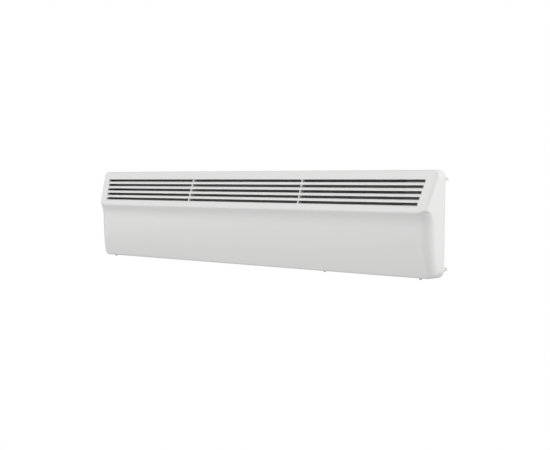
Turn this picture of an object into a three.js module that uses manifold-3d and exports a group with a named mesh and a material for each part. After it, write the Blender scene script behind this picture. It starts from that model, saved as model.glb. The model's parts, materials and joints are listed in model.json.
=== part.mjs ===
// A low, wall-hung electric convector heater with a sloped outlet grille, a finned heating element
// fed with air from below, a control strip on top, and a wall bracket with two turning latches.
//
// Millimetres, +Z up. The front faces -Y and X runs along the heater. The origin is the middle of
// the wall bracket's back face, so the wall is the plane y = 0. Everything but the bracket is built in
// the casing's own frame, in which y = 0 is the casing's rear edge and z = 0 is its underside.
import * as THREE from "three";
import { mergeVertices } from "three/addons/utils/BufferGeometryUtils.js";
import Module from "manifold-3d";

const wasm = await Module();
wasm.setup();

// ---------------------------------------------------------------- driving dimensions

const HEIGHT = 220; // of the casing
const HALF_WIDTH = 469; // at the casing's rear edge
const WALL_GAP = 29; // from the casing's rear edge to the wall
const WALL = 1.3; // thickness of the casing
const SHEET = 1.2; // thickness of the tray, bulkhead and supports
const GAP = 0.3; // between pieces that touch

const NOSE = { depth: 52.4, z: 134 }; // the ridge under the grille
const TOP_DEPTH = 17.4; // of the flat top
const BOTTOM_DEPTH = 28;
const PANEL_DEPTH = 42.4; // of the lower panel at its fullest
const DRAFT = 0.434; // how far the end faces lean in, per millimetre of depth
const RIM = 2; // straight rim at the rear edge of the end faces
const TOP_CORNER = 14;
const BOTTOM_CORNER = 16;
const FOLD_RADIUS = 6; // between the grille face and the end faces
const END_RADIUS = 29; // between the lower panel and the end faces
const NOSE_BLEND = 7; // height over which the fold widens into that radius
const SLOPE = (NOSE.depth - TOP_DEPTH) / (HEIGHT - NOSE.z); // of the grille face

const SLOT = { rows: 5, top: 197.3, pitch: 11.6, height: 5.7, endTop: 437, endBottom: 428 };
const MULLION = { x: 153, width: 3, depth: 17 };
const BLADE_DEPTH = 5; // of the bars between the slots

const TRAY = { depth: 12, halfWidth: 448, bottom: 14, top: 204 };
const CORE = { y: -11, z: 55, halfLength: 380, hub: 7, wing: 22, slits: 15 };
const SHEATH = { r: 4.25, halfLength: 396 };
const SUPPORT_X = 388;
const BULKHEAD_X = 394;

const STRIP = { x0: 320, x1: 446, y0: -12.6, y1: -2.8 }; // the control strip in the top
const STRIP_Y = (STRIP.y0 + STRIP.y1) / 2;
const BUTTON = { r: 3.4, first: 372, pitch: 14, travel: 0.8, below: 3.6 }; // tops level with the casing
const ROCKER = { x: 435, half: 6.4, rise: 4.1, tilt: 7, pivotZ: 215 };
const DISPLAY = { x0: 326, x1: 360, y0: STRIP_Y - 3.6, y1: STRIP_Y + 3.6 };
const PANEL_THICKNESS = 1.8; // of the control strip
const BOARD = { x0: 323, x1: 424, z: 212.6, thickness: 1.6, half: 4.2 };
const HOUSING_Z = 202.8; // underside of the box round the controls

const BRACKET = { half: 260, low: 70, high: 150, sheet: 1.5 };
const HOOK = { x: 220, width: 24, lip: 12, levels: [78, 130] };
const LATCH = { x: 220, pivotY: 21, reach: 18, width: 10, thickness: 3, z: 204.3 };

const PEG = { x: 462.5, z: 16, r: 4.2 }; // the lower stand-offs
const HOOK_TIP = { z: 201.5, halfHeight: 3.2, halfWidth: 5 }; // the upper stand-offs
const STANDOFF_STEM_X = PEG.x - 1;
const INTAKE = { halfLength: 408, y0: -21.5, y1: -5 }; // the window over the intake grille
const BOTTOM_SCREW = { xs: [-422, 427], y: -19.5, r: 2.8, height: 3.6 };
const SENSOR = { x: 204, y: -14, tip: 4.2 };
const CUTOUT = { x: 300, y: -8, z: 101.4 }; // the overheat cut-out
const TERMINALS = { x: [417, 427, 437], z: 53 };
const GLAND = { x: 430, z: 30, bore: 4, body: 6, collar: 9 };
const GUIDE = { left: -445, atHousing: 312, right: 393, thickness: 0.8 };
const TRAY_SCREW = { x: 454, z: [62, 165] };

// ---------------------------------------------------------------- geometry helpers

const AXIS_X = new THREE.Vector3(1, 0, 0);
const AXIS_Y = new THREE.Vector3(0, 1, 0);
const AXIS_Z = new THREE.Vector3(0, 0, 1);

function solid(geometry) {
  const bare = new THREE.BufferGeometry();
  bare.setAttribute("position", geometry.getAttribute("position"));
  bare.setIndex(geometry.index);
  const merged = mergeVertices(bare, 1e-4);
  return new wasm.Manifold(
    new wasm.Mesh({
      numProp: 3,
      vertProperties: new Float32Array(merged.attributes.position.array),
      triVerts: new Uint32Array(merged.index.array),
    }),
  );
}

function geometryOf(manifold) {
  const mesh = manifold.getMesh();
  const geometry = new THREE.BufferGeometry();
  geometry.setAttribute("position", new THREE.BufferAttribute(mesh.vertProperties, 3));
  geometry.setIndex(new THREE.BufferAttribute(mesh.triVerts, 1));
  geometry.computeVertexNormals();
  return geometry;
}

function join(...geometries) {
  return geometryOf(geometries.map(solid).reduce((a, b) => a.add(b)));
}

function cut(base, ...cutters) {
  return geometryOf(cutters.map(solid).reduce((a, b) => a.subtract(b), solid(base)));
}

function box([x0, x1], [y0, y1], [z0, z1]) {
  const geometry = new THREE.BoxGeometry(x1 - x0, y1 - y0, z1 - z0);
  return geometry.translate((x0 + x1) / 2, (y0 + y1) / 2, (z0 + z1) / 2);
}

// Cylinders along each axis, from one coordinate to another.
function rodX(r, [x0, x1], y, z, sides = 16) {
  const rod = new THREE.CylinderGeometry(r, r, x1 - x0, sides);
  return rod.rotateZ(Math.PI / 2).translate((x0 + x1) / 2, y, z);
}

function rodY(r, [y0, y1], x, z, sides = 16) {
  return new THREE.CylinderGeometry(r, r, y1 - y0, sides).translate(x, (y0 + y1) / 2, z);
}

function rodZ(r, [z0, z1], x, y, sides = 16) {
  const rod = new THREE.CylinderGeometry(r, r, z1 - z0, sides);
  return rod.rotateX(Math.PI / 2).translate(x, y, (z0 + z1) / 2);
}

function extrude(shape, depth, curveSegments) {
  return new THREE.ExtrudeGeometry(shape, { depth, bevelEnabled: false, curveSegments });
}

// A shape drawn in (y, z), extruded along X.
function alongX(shape, [x0, x1], curveSegments = 6) {
  const turn = new THREE.Matrix4().makeBasis(AXIS_Y, AXIS_Z, AXIS_X);
  return extrude(shape, x1 - x0, curveSegments).applyMatrix4(turn).translate(x0, 0, 0);
}

// A shape drawn in (x, z), extruded along Y.
function alongY(shape, [y0, y1], curveSegments = 6) {
  return extrude(shape, y1 - y0, curveSegments).rotateX(Math.PI / 2).translate(0, y1, 0);
}

// A shape drawn in (x, y), extruded along Z.
function alongZ(shape, [z0, z1], curveSegments = 6) {
  return extrude(shape, z1 - z0, curveSegments).translate(0, 0, z0);
}

function polygon(points) {
  return new THREE.Shape(points.map(([a, b]) => new THREE.Vector2(a, b)));
}

// A rectangle with one radius for its two low corners and one for its two high corners.
function roundedRectangle([a0, a1], [b0, b1], lowRadius, highRadius = lowRadius) {
  const shape = new THREE.Shape();
  shape.moveTo(a0 + lowRadius, b0);
  shape.lineTo(a1 - lowRadius, b0);
  shape.absarc(a1 - lowRadius, b0 + lowRadius, lowRadius, -Math.PI / 2, 0);
  shape.absarc(a1 - highRadius, b1 - highRadius, highRadius, 0, Math.PI / 2);
  shape.absarc(a0 + highRadius, b1 - highRadius, highRadius, Math.PI / 2, Math.PI);
  shape.absarc(a0 + lowRadius, b0 + lowRadius, lowRadius, Math.PI, 1.5 * Math.PI);
  return shape;
}

// A round hole, as an even polygon.
function circle(x, y, r, sides = 12) {
  const points = [];
  for (let i = 0; i < sides; i++) {
    const turn = (2 * Math.PI * i) / sides;
    points.push([x + r * Math.cos(turn), y + r * Math.sin(turn)]);
  }
  return polygon(points);
}

function rectangle([a0, a1], [b0, b1]) {
  return polygon([[a0, b0], [a1, b0], [a1, b1], [a0, b1]]);
}

// A sheet along a bent line of (y, z) points, lying to the left of the line, or to its right when the
// thickness is negative.
function bentStrip(points, thickness) {
  const sides = points.map((p, i) => {
    const before = points[Math.max(i - 1, 0)];
    const after = points[Math.min(i + 1, points.length - 1)];
    const run = new THREE.Vector2(after[0] - before[0], after[1] - before[1]).normalize();
    return [p[0] - run.y * thickness, p[1] + run.x * thickness];
  });
  return polygon([...points, ...sides.reverse()]);
}

// A solid through closed rings with the same number of points each, with flat ends.
function loft(rings) {
  const count = rings[0].length;
  const points = rings.flat();
  const index = [];
  for (let i = 0; i + 1 < rings.length; i++) {
    for (let j = 0; j < count; j++) {
      const a = i * count + j;
      const b = i * count + ((j + 1) % count);
      index.push(a, b + count, b, a, a + count, b + count);
    }
  }
  [0, rings.length - 1].forEach((end) => {
    points.push(new THREE.Box3().setFromPoints(rings[end]).getCenter(new THREE.Vector3()));
    for (let j = 0; j < count; j++) {
      const edge = [end * count + j, end * count + ((j + 1) % count)];
      if (end !== 0) edge.reverse();
      index.push(points.length - 1, ...edge);
    }
  });
  return new THREE.BufferGeometry().setFromPoints(points).setIndex(index);
}

// A wire of radius r through the points.
function wire(points, r = 1.2) {
  const curve = new THREE.CatmullRomCurve3(points.map((p) => new THREE.Vector3(...p)));
  const section = new THREE.Shape();
  section.absarc(0, 0, r, 0, 2 * Math.PI);
  return new THREE.ExtrudeGeometry(section, {
    extrudePath: curve,
    steps: points.length * 2,
    curveSegments: 3,
    bevelEnabled: false,
  });
}

// ---------------------------------------------------------------- the model

const heater = new THREE.Group();
heater.name = "convector_heater";
const casingFrame = new THREE.Group(); // y = 0 at the casing's rear edge, z = 0 at its underside
casingFrame.position.set(0, -WALL_GAP, -HEIGHT / 2);
heater.add(casingFrame);

const FINISH = {
  white: { color: 0xeeeeec, roughness: 0.45, metalness: 0 },
  whitePlastic: { color: 0xe6e6e3, roughness: 0.4, metalness: 0 },
  zinc: { color: 0xb4b8ba, roughness: 0.4, metalness: 0.9 },
  aluminium: { color: 0xc9cbcc, roughness: 0.35, metalness: 0.9 },
  darkCoat: { color: 0x3a3b3c, roughness: 0.7, metalness: 0 },
  steel: { color: 0x9a9c9e, roughness: 0.35, metalness: 0.9 },
  ceramic: { color: 0xe9e2d3, roughness: 0.6, metalness: 0 },
  black: { color: 0x1c1d1f, roughness: 0.35, metalness: 0 },
  display: { color: 0x0a0c10, roughness: 0.08, metalness: 0 },
  board: { color: 0x1e5b34, roughness: 0.5, metalness: 0 },
  silicone: { color: 0xd8d8d4, roughness: 0.8, metalness: 0 },
  brown: { color: 0x6b3f22, roughness: 0.5, metalness: 0 },
  blue: { color: 0x2455a4, roughness: 0.5, metalness: 0 },
  green: { color: 0x4b9a3a, roughness: 0.5, metalness: 0 },
};

function add(name, geometry, finish, group = casingFrame) {
  const mesh = new THREE.Mesh(geometry, new THREE.MeshStandardMaterial(FINISH[finish]));
  mesh.name = name;
  group.add(mesh);
  return mesh;
}

const SIDES = [["left", -1], ["right", 1]];

// ---------------------------------------------------------------- front casing

// The casing's section away from its ends, as (depth, z) points from the lower rear edge round the
// front to the upper rear edge. The bottom edge, the belly of the lower panel, the cove under the
// nose, the nose and the top edge are curves.
function sectionPath() {
  const path = new THREE.Path();
  path.moveTo(0, 0);
  [RIM, 9, 16, BOTTOM_DEPTH - 5].forEach((depth) => path.lineTo(depth, 0));
  path.quadraticCurveTo(BOTTOM_DEPTH, 0, BOTTOM_DEPTH + 1.4, 5);
  path.quadraticCurveTo(PANEL_DEPTH, 52.5, PANEL_DEPTH, 105);
  path.lineTo(PANEL_DEPTH, 110);
  path.quadraticCurveTo(PANEL_DEPTH, 119, NOSE.depth - 4.8, NOSE.z - 7.2);
  path.lineTo(NOSE.depth - 1.7, NOSE.z - 2.5);
  path.quadraticCurveTo(NOSE.depth, NOSE.z, NOSE.depth - 3 * SLOPE, NOSE.z + 3);
  path.lineTo(TOP_DEPTH + 4 * SLOPE, HEIGHT - 4);
  path.quadraticCurveTo(TOP_DEPTH, HEIGHT, TOP_DEPTH - 4, HEIGHT);
  [7, RIM, 0].forEach((depth) => path.lineTo(depth, HEIGHT));
  return path.getPoints(3);
}

// The section moved inwards by an offset, with its two rear points brought to the plane depth = rear.
function offsetSection(points, offset, rear) {
  return points.map((p, i) => {
    const before = points[Math.max(i - 1, 0)];
    const after = points[Math.min(i + 1, points.length - 1)];
    const run = after.clone().sub(before).normalize();
    const moved = new THREE.Vector2(p.x - run.y * offset, p.y + run.x * offset);
    if (i === 0 || i === points.length - 1) moved.x = rear;
    return moved;
  });
}

function cornerRise(distance, radius) {
  const past = Math.min(Math.max(radius - distance, 0), radius);
  return radius - Math.sqrt(radius * radius - past * past);
}

// The radius between the front and the end faces: a tight fold beside the grille, and a broad one
// below, which narrows a little towards the bottom.
function endRadius(z) {
  const broad = END_RADIUS * (0.7 + 0.3 * THREE.MathUtils.smoothstep(z, 0, 75));
  const share = THREE.MathUtils.smoothstep(NOSE.z + NOSE_BLEND - z, 0, NOSE_BLEND);
  return FOLD_RADIUS + (broad - FOLD_RADIUS) * share;
}

// The casing's depth at a distance from its end, where the front turns into the end face.
function endDepth(front, reach, fullRadius) {
  const turn = Math.atan2(1, DRAFT);
  const radius = Math.min(fullRadius, 1.5 * Math.max(front - RIM, 0));
  const past = DRAFT * (front - RIM) + radius * Math.tan(turn / 2) - reach;
  if (past <= 0) return front;
  if (past < radius * Math.sin(turn)) return front - radius + Math.sqrt(radius * radius - past * past);
  return Math.min(front, RIM + reach / DRAFT);
}

// The casing's outer body, or its hollow when offset is the wall's thickness and rear is below zero.
function casingBody(offset, rear) {
  const section = offsetSection(sectionPath(), offset, rear);
  const half = HALF_WIDTH - 1.1 * offset;
  const steps = [0, 0.8, 2.4, 5, 8.5, 12.5, 17, 21.5, 26, 32, 41];
  const stations = steps.map((s) => half - s);
  const xs = [...stations.map((x) => -x), 0, ...stations.reverse()];
  const rings = xs.map((x) =>
    section.map((p) => {
      const radius = Math.max(endRadius(p.y) - offset, 1);
      const depth = p.x <= 0 ? p.x : endDepth(p.x, half - Math.abs(x), radius);
      const inside = half - DRAFT * Math.max(depth - RIM, 0) - Math.abs(x);
      const low = cornerRise(inside, BOTTOM_CORNER - offset) + offset;
      const high = HEIGHT - offset - cornerRise(inside, TOP_CORNER - offset);
      const share = THREE.MathUtils.clamp((p.y - offset) / (HEIGHT - 2 * offset), 0, 1);
      return new THREE.Vector3(x, -depth, low + (high - low) * share);
    }),
  );
  return loft(rings);
}

function faceDepth(z) {
  return TOP_DEPTH + SLOPE * (HEIGHT - z);
}

// The outlet slots as [x from, x to, z] for each row and section.
function slotSpans() {
  const spans = [];
  for (let row = 0; row < SLOT.rows; row++) {
    const z = SLOT.top - row * SLOT.pitch;
    const end = SLOT.endTop + ((SLOT.endBottom - SLOT.endTop) * row) / (SLOT.rows - 1);
    const inner = MULLION.x - MULLION.width / 2;
    const outer = MULLION.x + MULLION.width / 2;
    spans.push([-end, -outer, z], [-inner, inner, z], [outer, end, z]);
  }
  return spans;
}

function frontCasing() {
  const slotCuts = slotSpans().map(([x0, x1, z]) => {
    const z0 = z - SLOT.height / 2;
    const shape = roundedRectangle([x0, x1], [z0, z0 + SLOT.height], 2);
    return alongY(shape, [-faceDepth(z) - 8, -faceDepth(z) + 10], 2);
  });
  const stripCut = box(
    [STRIP.x0 - GAP, STRIP.x1 + GAP],
    [STRIP.y0 - GAP, STRIP.y1 + GAP],
    [HEIGHT - 5, HEIGHT + 5],
  );
  const { halfLength, y0, y1 } = INTAKE;
  const intakeCut = alongZ(roundedRectangle([-halfLength, halfLength], [y0, y1], 3), [-5, 5], 2);
  const screwCuts = BOTTOM_SCREW.xs.map((x) => rodZ(1.7, [-5, 5], x, BOTTOM_SCREW.y, 10));
  // The wall is thicker behind the slots, so that the bars between them are blades.
  const [bladesLow, bladesHigh] = [145, 202.5];
  const backing = alongX(
    polygon([
      [-faceDepth(bladesLow) + WALL / 2, bladesLow],
      [-faceDepth(bladesLow) + BLADE_DEPTH, bladesLow],
      [-faceDepth(bladesHigh) + BLADE_DEPTH, bladesHigh],
      [-faceDepth(bladesHigh) + WALL / 2, bladesHigh],
    ]),
    [-SLOT.endTop - 4, SLOT.endTop + 4],
  );
  const walls = join(cut(casingBody(0, 0), casingBody(WALL, -3)), backing);
  const shell = cut(walls, ...slotCuts, stripCut, intakeCut, ...screwCuts);
  // A deep rib stands behind each mullion, from the nose to above the top row.
  const ribs = SIDES.map(([, side]) => {
    const x = side * MULLION.x;
    const [low, middle, high] = [146, 190, 206];
    const outline = polygon([
      [-faceDepth(low) + WALL / 2, low],
      [-faceDepth(low) + MULLION.depth, low],
      [-faceDepth(middle) + MULLION.depth, middle],
      [-faceDepth(high) + MULLION.depth / 3, high],
      [-faceDepth(high) + WALL / 2, high],
    ]);
    return alongX(outline, [x - MULLION.width / 2, x + MULLION.width / 2]);
  });
  // Four bosses take the tray's screws, each held to its end face by a web.
  const bosses = SIDES.flatMap(([, side]) =>
    TRAY_SCREW.z.map((z) => {
      const { x } = TRAY_SCREW;
      const web = polygon([[x, -14], [x + 8.2, -14], [x + 13, -4], [x, -4]].map(([a, b]) => [side * a, b]));
      return cut(
        join(rodY(3.4, [-17, -2], side * x, z, 12), alongZ(web, [z - 1, z + 1])),
        rodY(1.8, [-15, -1], side * x, z, 8),
      );
    }),
  );
  return join(shell, ...ribs, ...bosses);
}

add("front_casing", frontCasing(), "white");

// ---------------------------------------------------------------- intake grille and its screws

function intakeGrille() {
  const plate = alongZ(rectangle([-434, 434], [-24.5, -3]), [WALL + GAP, WALL + GAP + 1]);
  const pitch = 34;
  const count = 24;
  const slots = [];
  for (let i = 0; i < count; i++) {
    const x = (i - (count - 1) / 2) * pitch;
    if (Math.abs(x - SENSOR.x) <= pitch / 2) continue; // the sensor takes the place of two
    [-20.5, -12.3].forEach((y) => slots.push(box([x - 14, x + 14], [y, y + 5.6], [0, 4])));
  }
  const screwHoles = BOTTOM_SCREW.xs.map((x) => rodZ(1.7, [0, 4], x, BOTTOM_SCREW.y, 10));
  return cut(plate, ...slots, ...screwHoles, rodZ(3, [0, 4], SENSOR.x, SENSOR.y, 12));
}

add("intake_grille", intakeGrille(), "white");

SIDES.forEach(([name], i) => {
  const x = BOTTOM_SCREW.xs[i];
  const { y, r, height } = BOTTOM_SCREW;
  const headLine = [[0, -height], [r - 1, -height], [r, 1.2 - height], [r, -GAP], [0, -GAP]];
  const head = new THREE.LatheGeometry(headLine.map((p) => new THREE.Vector2(...p)), 12);
  const screw = join(head.rotateX(Math.PI / 2).translate(x, y, 0), rodZ(1.35, [-1, 9], x, y, 8));
  add("casing_screw_" + name, screw, "steel");
});

// ---------------------------------------------------------------- rear tray

const hookSlotCuts = SIDES.flatMap(([, side]) =>
  HOOK.levels.map((z) => {
    const x = side * HOOK.x;
    const half = HOOK.width / 2 + 2;
    return box([x - half, x + half], [8, 14], [z - 16, z + BRACKET.sheet + GAP]);
  }),
);

function rearTray() {
  const { halfWidth, bottom, top, depth } = TRAY;
  const edge = HALF_WIDTH - 2.4;
  const corners = [BOTTOM_CORNER - 1.5, TOP_CORNER - 1.5];
  const outline = roundedRectangle([-edge, edge], [WALL + 0.7, HEIGHT - WALL - 0.7], ...corners);
  const flange = alongY(outline, [-1.6, -0.4], 4);
  const outer = alongY(roundedRectangle([-halfWidth, halfWidth], [bottom, top], 10), [-1.6, depth], 3);
  const inner = alongY(
    roundedRectangle([-halfWidth + SHEET, halfWidth - SHEET], [bottom + SHEET, top - SHEET], 8.8),
    [-3, depth - SHEET],
    3,
  );
  const screwCuts = SIDES.flatMap(([, side]) =>
    TRAY_SCREW.z.map((z) => rodY(1.8, [-3, 3], side * TRAY_SCREW.x, z, 8)),
  );
  const pegCuts = SIDES.flatMap(([, side]) =>
    [PEG.z, HOOK_TIP.z].map((z) => rodY(2.3, [-3, 3], side * STANDOFF_STEM_X, z, 8)),
  );
  const glandCut = rodY(GLAND.body + GAP, [depth - 4, depth + 2], GLAND.x, GLAND.z, 12);
  return cut(join(flange, outer), inner, ...screwCuts, ...pegCuts, ...hookSlotCuts, glandCut);
}

add("rear_tray", rearTray(), "zinc");

SIDES.forEach(([name, side]) => {
  TRAY_SCREW.z.forEach((z, i) => {
    const x = side * TRAY_SCREW.x;
    const head = rodY(3.1, [-0.1, 1.9], x, z, 10);
    const screw = join(head, rodY(1.4, [-13, 0.5], x, z, 8));
    add("tray_screw_" + ["lower_", "upper_"][i] + name, screw, "steel");
  });
});

// ---------------------------------------------------------------- wall stand-offs

SIDES.forEach(([name, side]) => {
  const tip = WALL_GAP; // both reach the wall
  const stem = (z) => rodY(2, [-6, 1], side * STANDOFF_STEM_X, z, 8);
  const x = side * PEG.x;
  const peg = join(rodY(PEG.r, [0, tip - 1], x, PEG.z, 14), rodY(PEG.r - 0.8, [tip - 2, tip], x, PEG.z, 14));
  add("standoff_lower_" + name, join(stem(PEG.z), peg), "whitePlastic");
  const low = HOOK_TIP.z - HOOK_TIP.halfHeight;
  const high = HOOK_TIP.z + HOOK_TIP.halfHeight;
  const hook = polygon([[0, low], [tip, low], [tip, low + 2.4], [tip - 9, high], [0, high]]);
  const middle = side * STANDOFF_STEM_X;
  const wide = alongX(hook, [middle - HOOK_TIP.halfWidth, middle + HOOK_TIP.halfWidth]);
  add("standoff_upper_" + name, join(wide, stem(HOOK_TIP.z)), "whitePlastic");
});

// ---------------------------------------------------------------- heating element

function heaterCore() {
  const { y, z, halfLength, hub, wing, slits } = CORE;
  const length = [-halfLength, halfLength];
  const wings = [1, -1].map((way) => {
    const blade = new THREE.BoxGeometry(2 * halfLength, 2 * wing, 1.6);
    return blade.rotateX((way * Math.PI) / 4).translate(0, y, z);
  });
  const block = join(rodX(hub, length, y, z, 12), ...wings);
  const ring = cut(box([-1, 1], [-40, 40], [-40, 40]), rodX(hub + 2.5, [-2, 2], 0, 0, 12));
  const pitch = (2 * halfLength) / (slits + 1);
  const slitCuts = [];
  for (let i = 1; i <= slits; i++) slitCuts.push(ring.clone().translate(i * pitch - halfLength, y, z));
  return cut(block, rodX(SHEATH.r + GAP, [-halfLength - 1, halfLength + 1], y, z, 12), ...slitCuts);
}

add("heater_core", heaterCore(), "aluminium");

const pinBores = SIDES.map(([, side]) => {
  const ends = side > 0 ? [384, 400] : [-400, -384];
  return rodX(2.1, ends, CORE.y, CORE.z, 8);
});
const sheathRod = rodX(SHEATH.r, [-SHEATH.halfLength, SHEATH.halfLength], CORE.y, CORE.z, 12);
add("heater_sheath", cut(sheathRod, ...pinBores), "steel");

SIDES.forEach(([name, side]) => {
  const span = (a, b) => (side > 0 ? [a, b] : [-b, -a]);
  const { y, z } = CORE;
  add("terminal_pin_" + name, rodX(1.7, span(386, 411), y, z, 8), "steel");
  const bead = cut(rodX(4.25, span(396.4, 401), y, z, 12), rodX(2.1, span(395, 402), y, z, 8));
  add("pin_insulator_" + name, bead, "ceramic");
  const bush = cut(
    join(rodX(8, span(383, 392.5), y, z, 14), rodX(10, span(383, SUPPORT_X - GAP), y, z, 14)),
    rodX(SHEATH.r + GAP, span(380, 395), y, z, 12),
  );
  add("support_bush_" + name, bush, "ceramic");
  const plate = cut(
    join(
      alongX(
        polygon([[10.4, 34], [10.4, 80], [0, 80], [-24, 66], [-24, 44], [0, 34]]),
        span(SUPPORT_X, SUPPORT_X + SHEET),
      ),
      box(span(SUPPORT_X - 10, SUPPORT_X + SHEET), [9.2, 10.4], [34, 80]),
    ),
    rodX(8.4, span(380, 395), y, z, 14),
  );
  add("core_support_" + name, plate, "zinc");
});

// ---------------------------------------------------------------- air guide and bulkhead

// The guide leans forward from the tray to the top of the casing. Under the controls it stops short.
function airGuide() {
  const foot = [[9.6, 143], [9.6, 164]];
  const full = bentStrip([...foot, [-12.6, 205], [-12.6, 216]], -GUIDE.thickness);
  const short = bentStrip([...foot, [-11, 202]], -GUIDE.thickness);
  return join(
    alongX(full, [GUIDE.left, GUIDE.atHousing]),
    alongX(short, [GUIDE.atHousing - 1, GUIDE.right]),
  );
}

add("air_guide", airGuide(), "darkCoat");

// The bulkhead parts the hot side from the wiring, and its front flange closes off the slots there.
function bulkhead() {
  const front = [[-16.5, 200], [-38, 148], [-38, 120]];
  const outline = polygon([
    [10.4, 34], [10.4, 132], [-4, 132], [-4, 180], [-11, 200], ...front,
    [-38, 100], [-36, 60], [-28, 24], [-6, 24], [-6, 34],
  ]);
  const plate = alongX(outline, [BULKHEAD_X, BULKHEAD_X + SHEET]);
  const foot = box([BULKHEAD_X, BULKHEAD_X + 9], [9.2, 10.4], [84, 128]);
  const flange = alongX(bentStrip(front, SHEET), [BULKHEAD_X, BULKHEAD_X + 48]);
  const bushWay = rodX(6, [BULKHEAD_X - 4, BULKHEAD_X + 6], CORE.y, CORE.z, 12);
  return cut(join(plate, foot, flange), bushWay);
}

add("wiring_bulkhead", bulkhead(), "darkCoat");

// ---------------------------------------------------------------- overheat cut-out and room sensor

add(
  "cutout_bracket",
  join(
    box([CUTOUT.x - 12, CUTOUT.x + 12], [-18, 10.4], [CUTOUT.z - 1.5, CUTOUT.z - GAP]),
    box([CUTOUT.x - 12, CUTOUT.x + 12], [9.2, 10.4], [CUTOUT.z - 1.5, CUTOUT.z + 14]),
  ),
  "zinc",
);
add(
  "overheat_cutout",
  join(
    rodZ(8, [CUTOUT.z, CUTOUT.z + 4], CUTOUT.x, CUTOUT.y, 16),
    rodZ(6.6, [CUTOUT.z + 3, CUTOUT.z + 10], CUTOUT.x, CUTOUT.y, 16),
    ...[-4, 4].map((x) =>
      box(
        [CUTOUT.x + x - 2, CUTOUT.x + x + 2],
        [CUTOUT.y - 0.4, CUTOUT.y + 0.4],
        [CUTOUT.z + 9, CUTOUT.z + 15],
      ),
    ),
  ),
  "black",
);

const sensorLine = [[0, -SENSOR.tip], [1.6, 0.4 - SENSOR.tip], [2.5, 1.5 - SENSOR.tip], [2.5, 8], [0, 8]];
const sensorTip = new THREE.LatheGeometry(sensorLine.map((p) => new THREE.Vector2(...p)), 12);
add("room_sensor", sensorTip.rotateX(Math.PI / 2).translate(SENSOR.x, SENSOR.y, 0), "whitePlastic");
add(
  "sensor_holder",
  cut(
    box([SENSOR.x - 7, SENSOR.x + 7], [SENSOR.y - 6, SENSOR.y + 6], [3, 11]),
    rodZ(2.8, [2, 8.5], SENSOR.x, SENSOR.y, 12),
    rodZ(1.4, [8, 12], SENSOR.x, SENSOR.y, 8),
  ),
  "whitePlastic",
);

// ---------------------------------------------------------------- terminal block and cable gland

function terminalBlock() {
  const body = box([412, 442], [0, 10.3], [42, 58]);
  const wells = TERMINALS.x.map((x) => rodY(2.8, [-1, 3], x, TERMINALS.z, 10));
  return cut(body, ...wells);
}

add("terminal_block", terminalBlock(), "black");

add(
  "cable_gland",
  cut(
    join(
      rodY(GLAND.body, [4, TRAY.depth + 1], GLAND.x, GLAND.z, 12),
      rodY(GLAND.collar, [TRAY.depth + GAP, TRAY.depth + 3], GLAND.x, GLAND.z, 6),
      rodY(GLAND.body + 0.6, [TRAY.depth + 2, TRAY.depth + 12], GLAND.x, GLAND.z, 12),
    ),
    rodY(GLAND.bore, [-10, 40], GLAND.x, GLAND.z, 12),
  ),
  "black",
);
add(
  "gland_nut",
  cut(
    rodY(GLAND.collar - 0.4, [6, TRAY.depth - SHEET - GAP], GLAND.x, GLAND.z, 6),
    rodY(GLAND.body + GAP, [0, 15], GLAND.x, GLAND.z, 12),
  ),
  "black",
);

// ---------------------------------------------------------------- control strip

const buttonXs = [0, 1, 2, 3].map((i) => BUTTON.first + i * BUTTON.pitch);
const BUTTON_NAMES = ["button_down", "button_up", "button_mode", "button_timer"];

function controlPanel() {
  const shape = roundedRectangle([STRIP.x0, STRIP.x1], [STRIP.y0, STRIP.y1], 0.5);
  buttonXs.forEach((x) => shape.holes.push(circle(x, STRIP_Y, BUTTON.r + GAP, 20)));
  shape.holes.push(roundedRectangle([DISPLAY.x0, DISPLAY.x1], [DISPLAY.y0, DISPLAY.y1], 0.6));
  shape.holes.push(
    roundedRectangle([ROCKER.x - 7.2, ROCKER.x + 7.2], [STRIP_Y - 4, STRIP_Y + 4], 0.4),
  );
  return alongZ(shape, [HEIGHT - PANEL_THICKNESS, HEIGHT], 2);
}

add("control_panel", controlPanel(), "whitePlastic");
add(
  "display_window",
  box(
    [DISPLAY.x0 + GAP, DISPLAY.x1 - GAP],
    [DISPLAY.y0 + GAP, DISPLAY.y1 - GAP],
    [HEIGHT - 1.6, HEIGHT - 0.2],
  ),
  "display",
);
add(
  "display_module",
  box(
    [DISPLAY.x0, DISPLAY.x1],
    [STRIP_Y - 4, STRIP_Y + 4],
    [BOARD.z + BOARD.thickness + GAP, HEIGHT - PANEL_THICKNESS - GAP],
  ),
  "black",
);

// Each button's flange holds it under the strip, and its pad of the keypad stops it after its travel.
const BUTTON_FOOT = HEIGHT - BUTTON.below;
buttonXs.forEach((x, i) => {
  const cap = rodZ(BUTTON.r, [BUTTON_FOOT + 0.6, HEIGHT], x, STRIP_Y, 20);
  const flange = rodZ(BUTTON.r + 0.7, [BUTTON_FOOT, HEIGHT - PANEL_THICKNESS - 0.4], x, STRIP_Y, 20);
  add(BUTTON_NAMES[i], join(cap, flange), "whitePlastic");
});

const PAD_Z = BOARD.z + BOARD.thickness + GAP;
const PAD_TOP = BUTTON_FOOT - BUTTON.travel - 0.15;
add(
  "keypad",
  join(
    box([buttonXs[0] - 8, buttonXs[3] + 8], [STRIP_Y - 4, STRIP_Y + 4], [PAD_Z, PAD_Z + 0.5]),
    ...buttonXs.map((x) => rodZ(2.6, [PAD_Z + 0.3, PAD_TOP], x, STRIP_Y, 10)),
  ),
  "silicone",
);
add(
  "control_board",
  box(
    [BOARD.x0, BOARD.x1],
    [STRIP_Y - BOARD.half, STRIP_Y + BOARD.half],
    [BOARD.z, BOARD.z + BOARD.thickness],
  ),
  "board",
);
add("control_relay", box([384, 402], [STRIP_Y - 4, STRIP_Y + 4], [205, BOARD.z - GAP]), "black");

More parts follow.
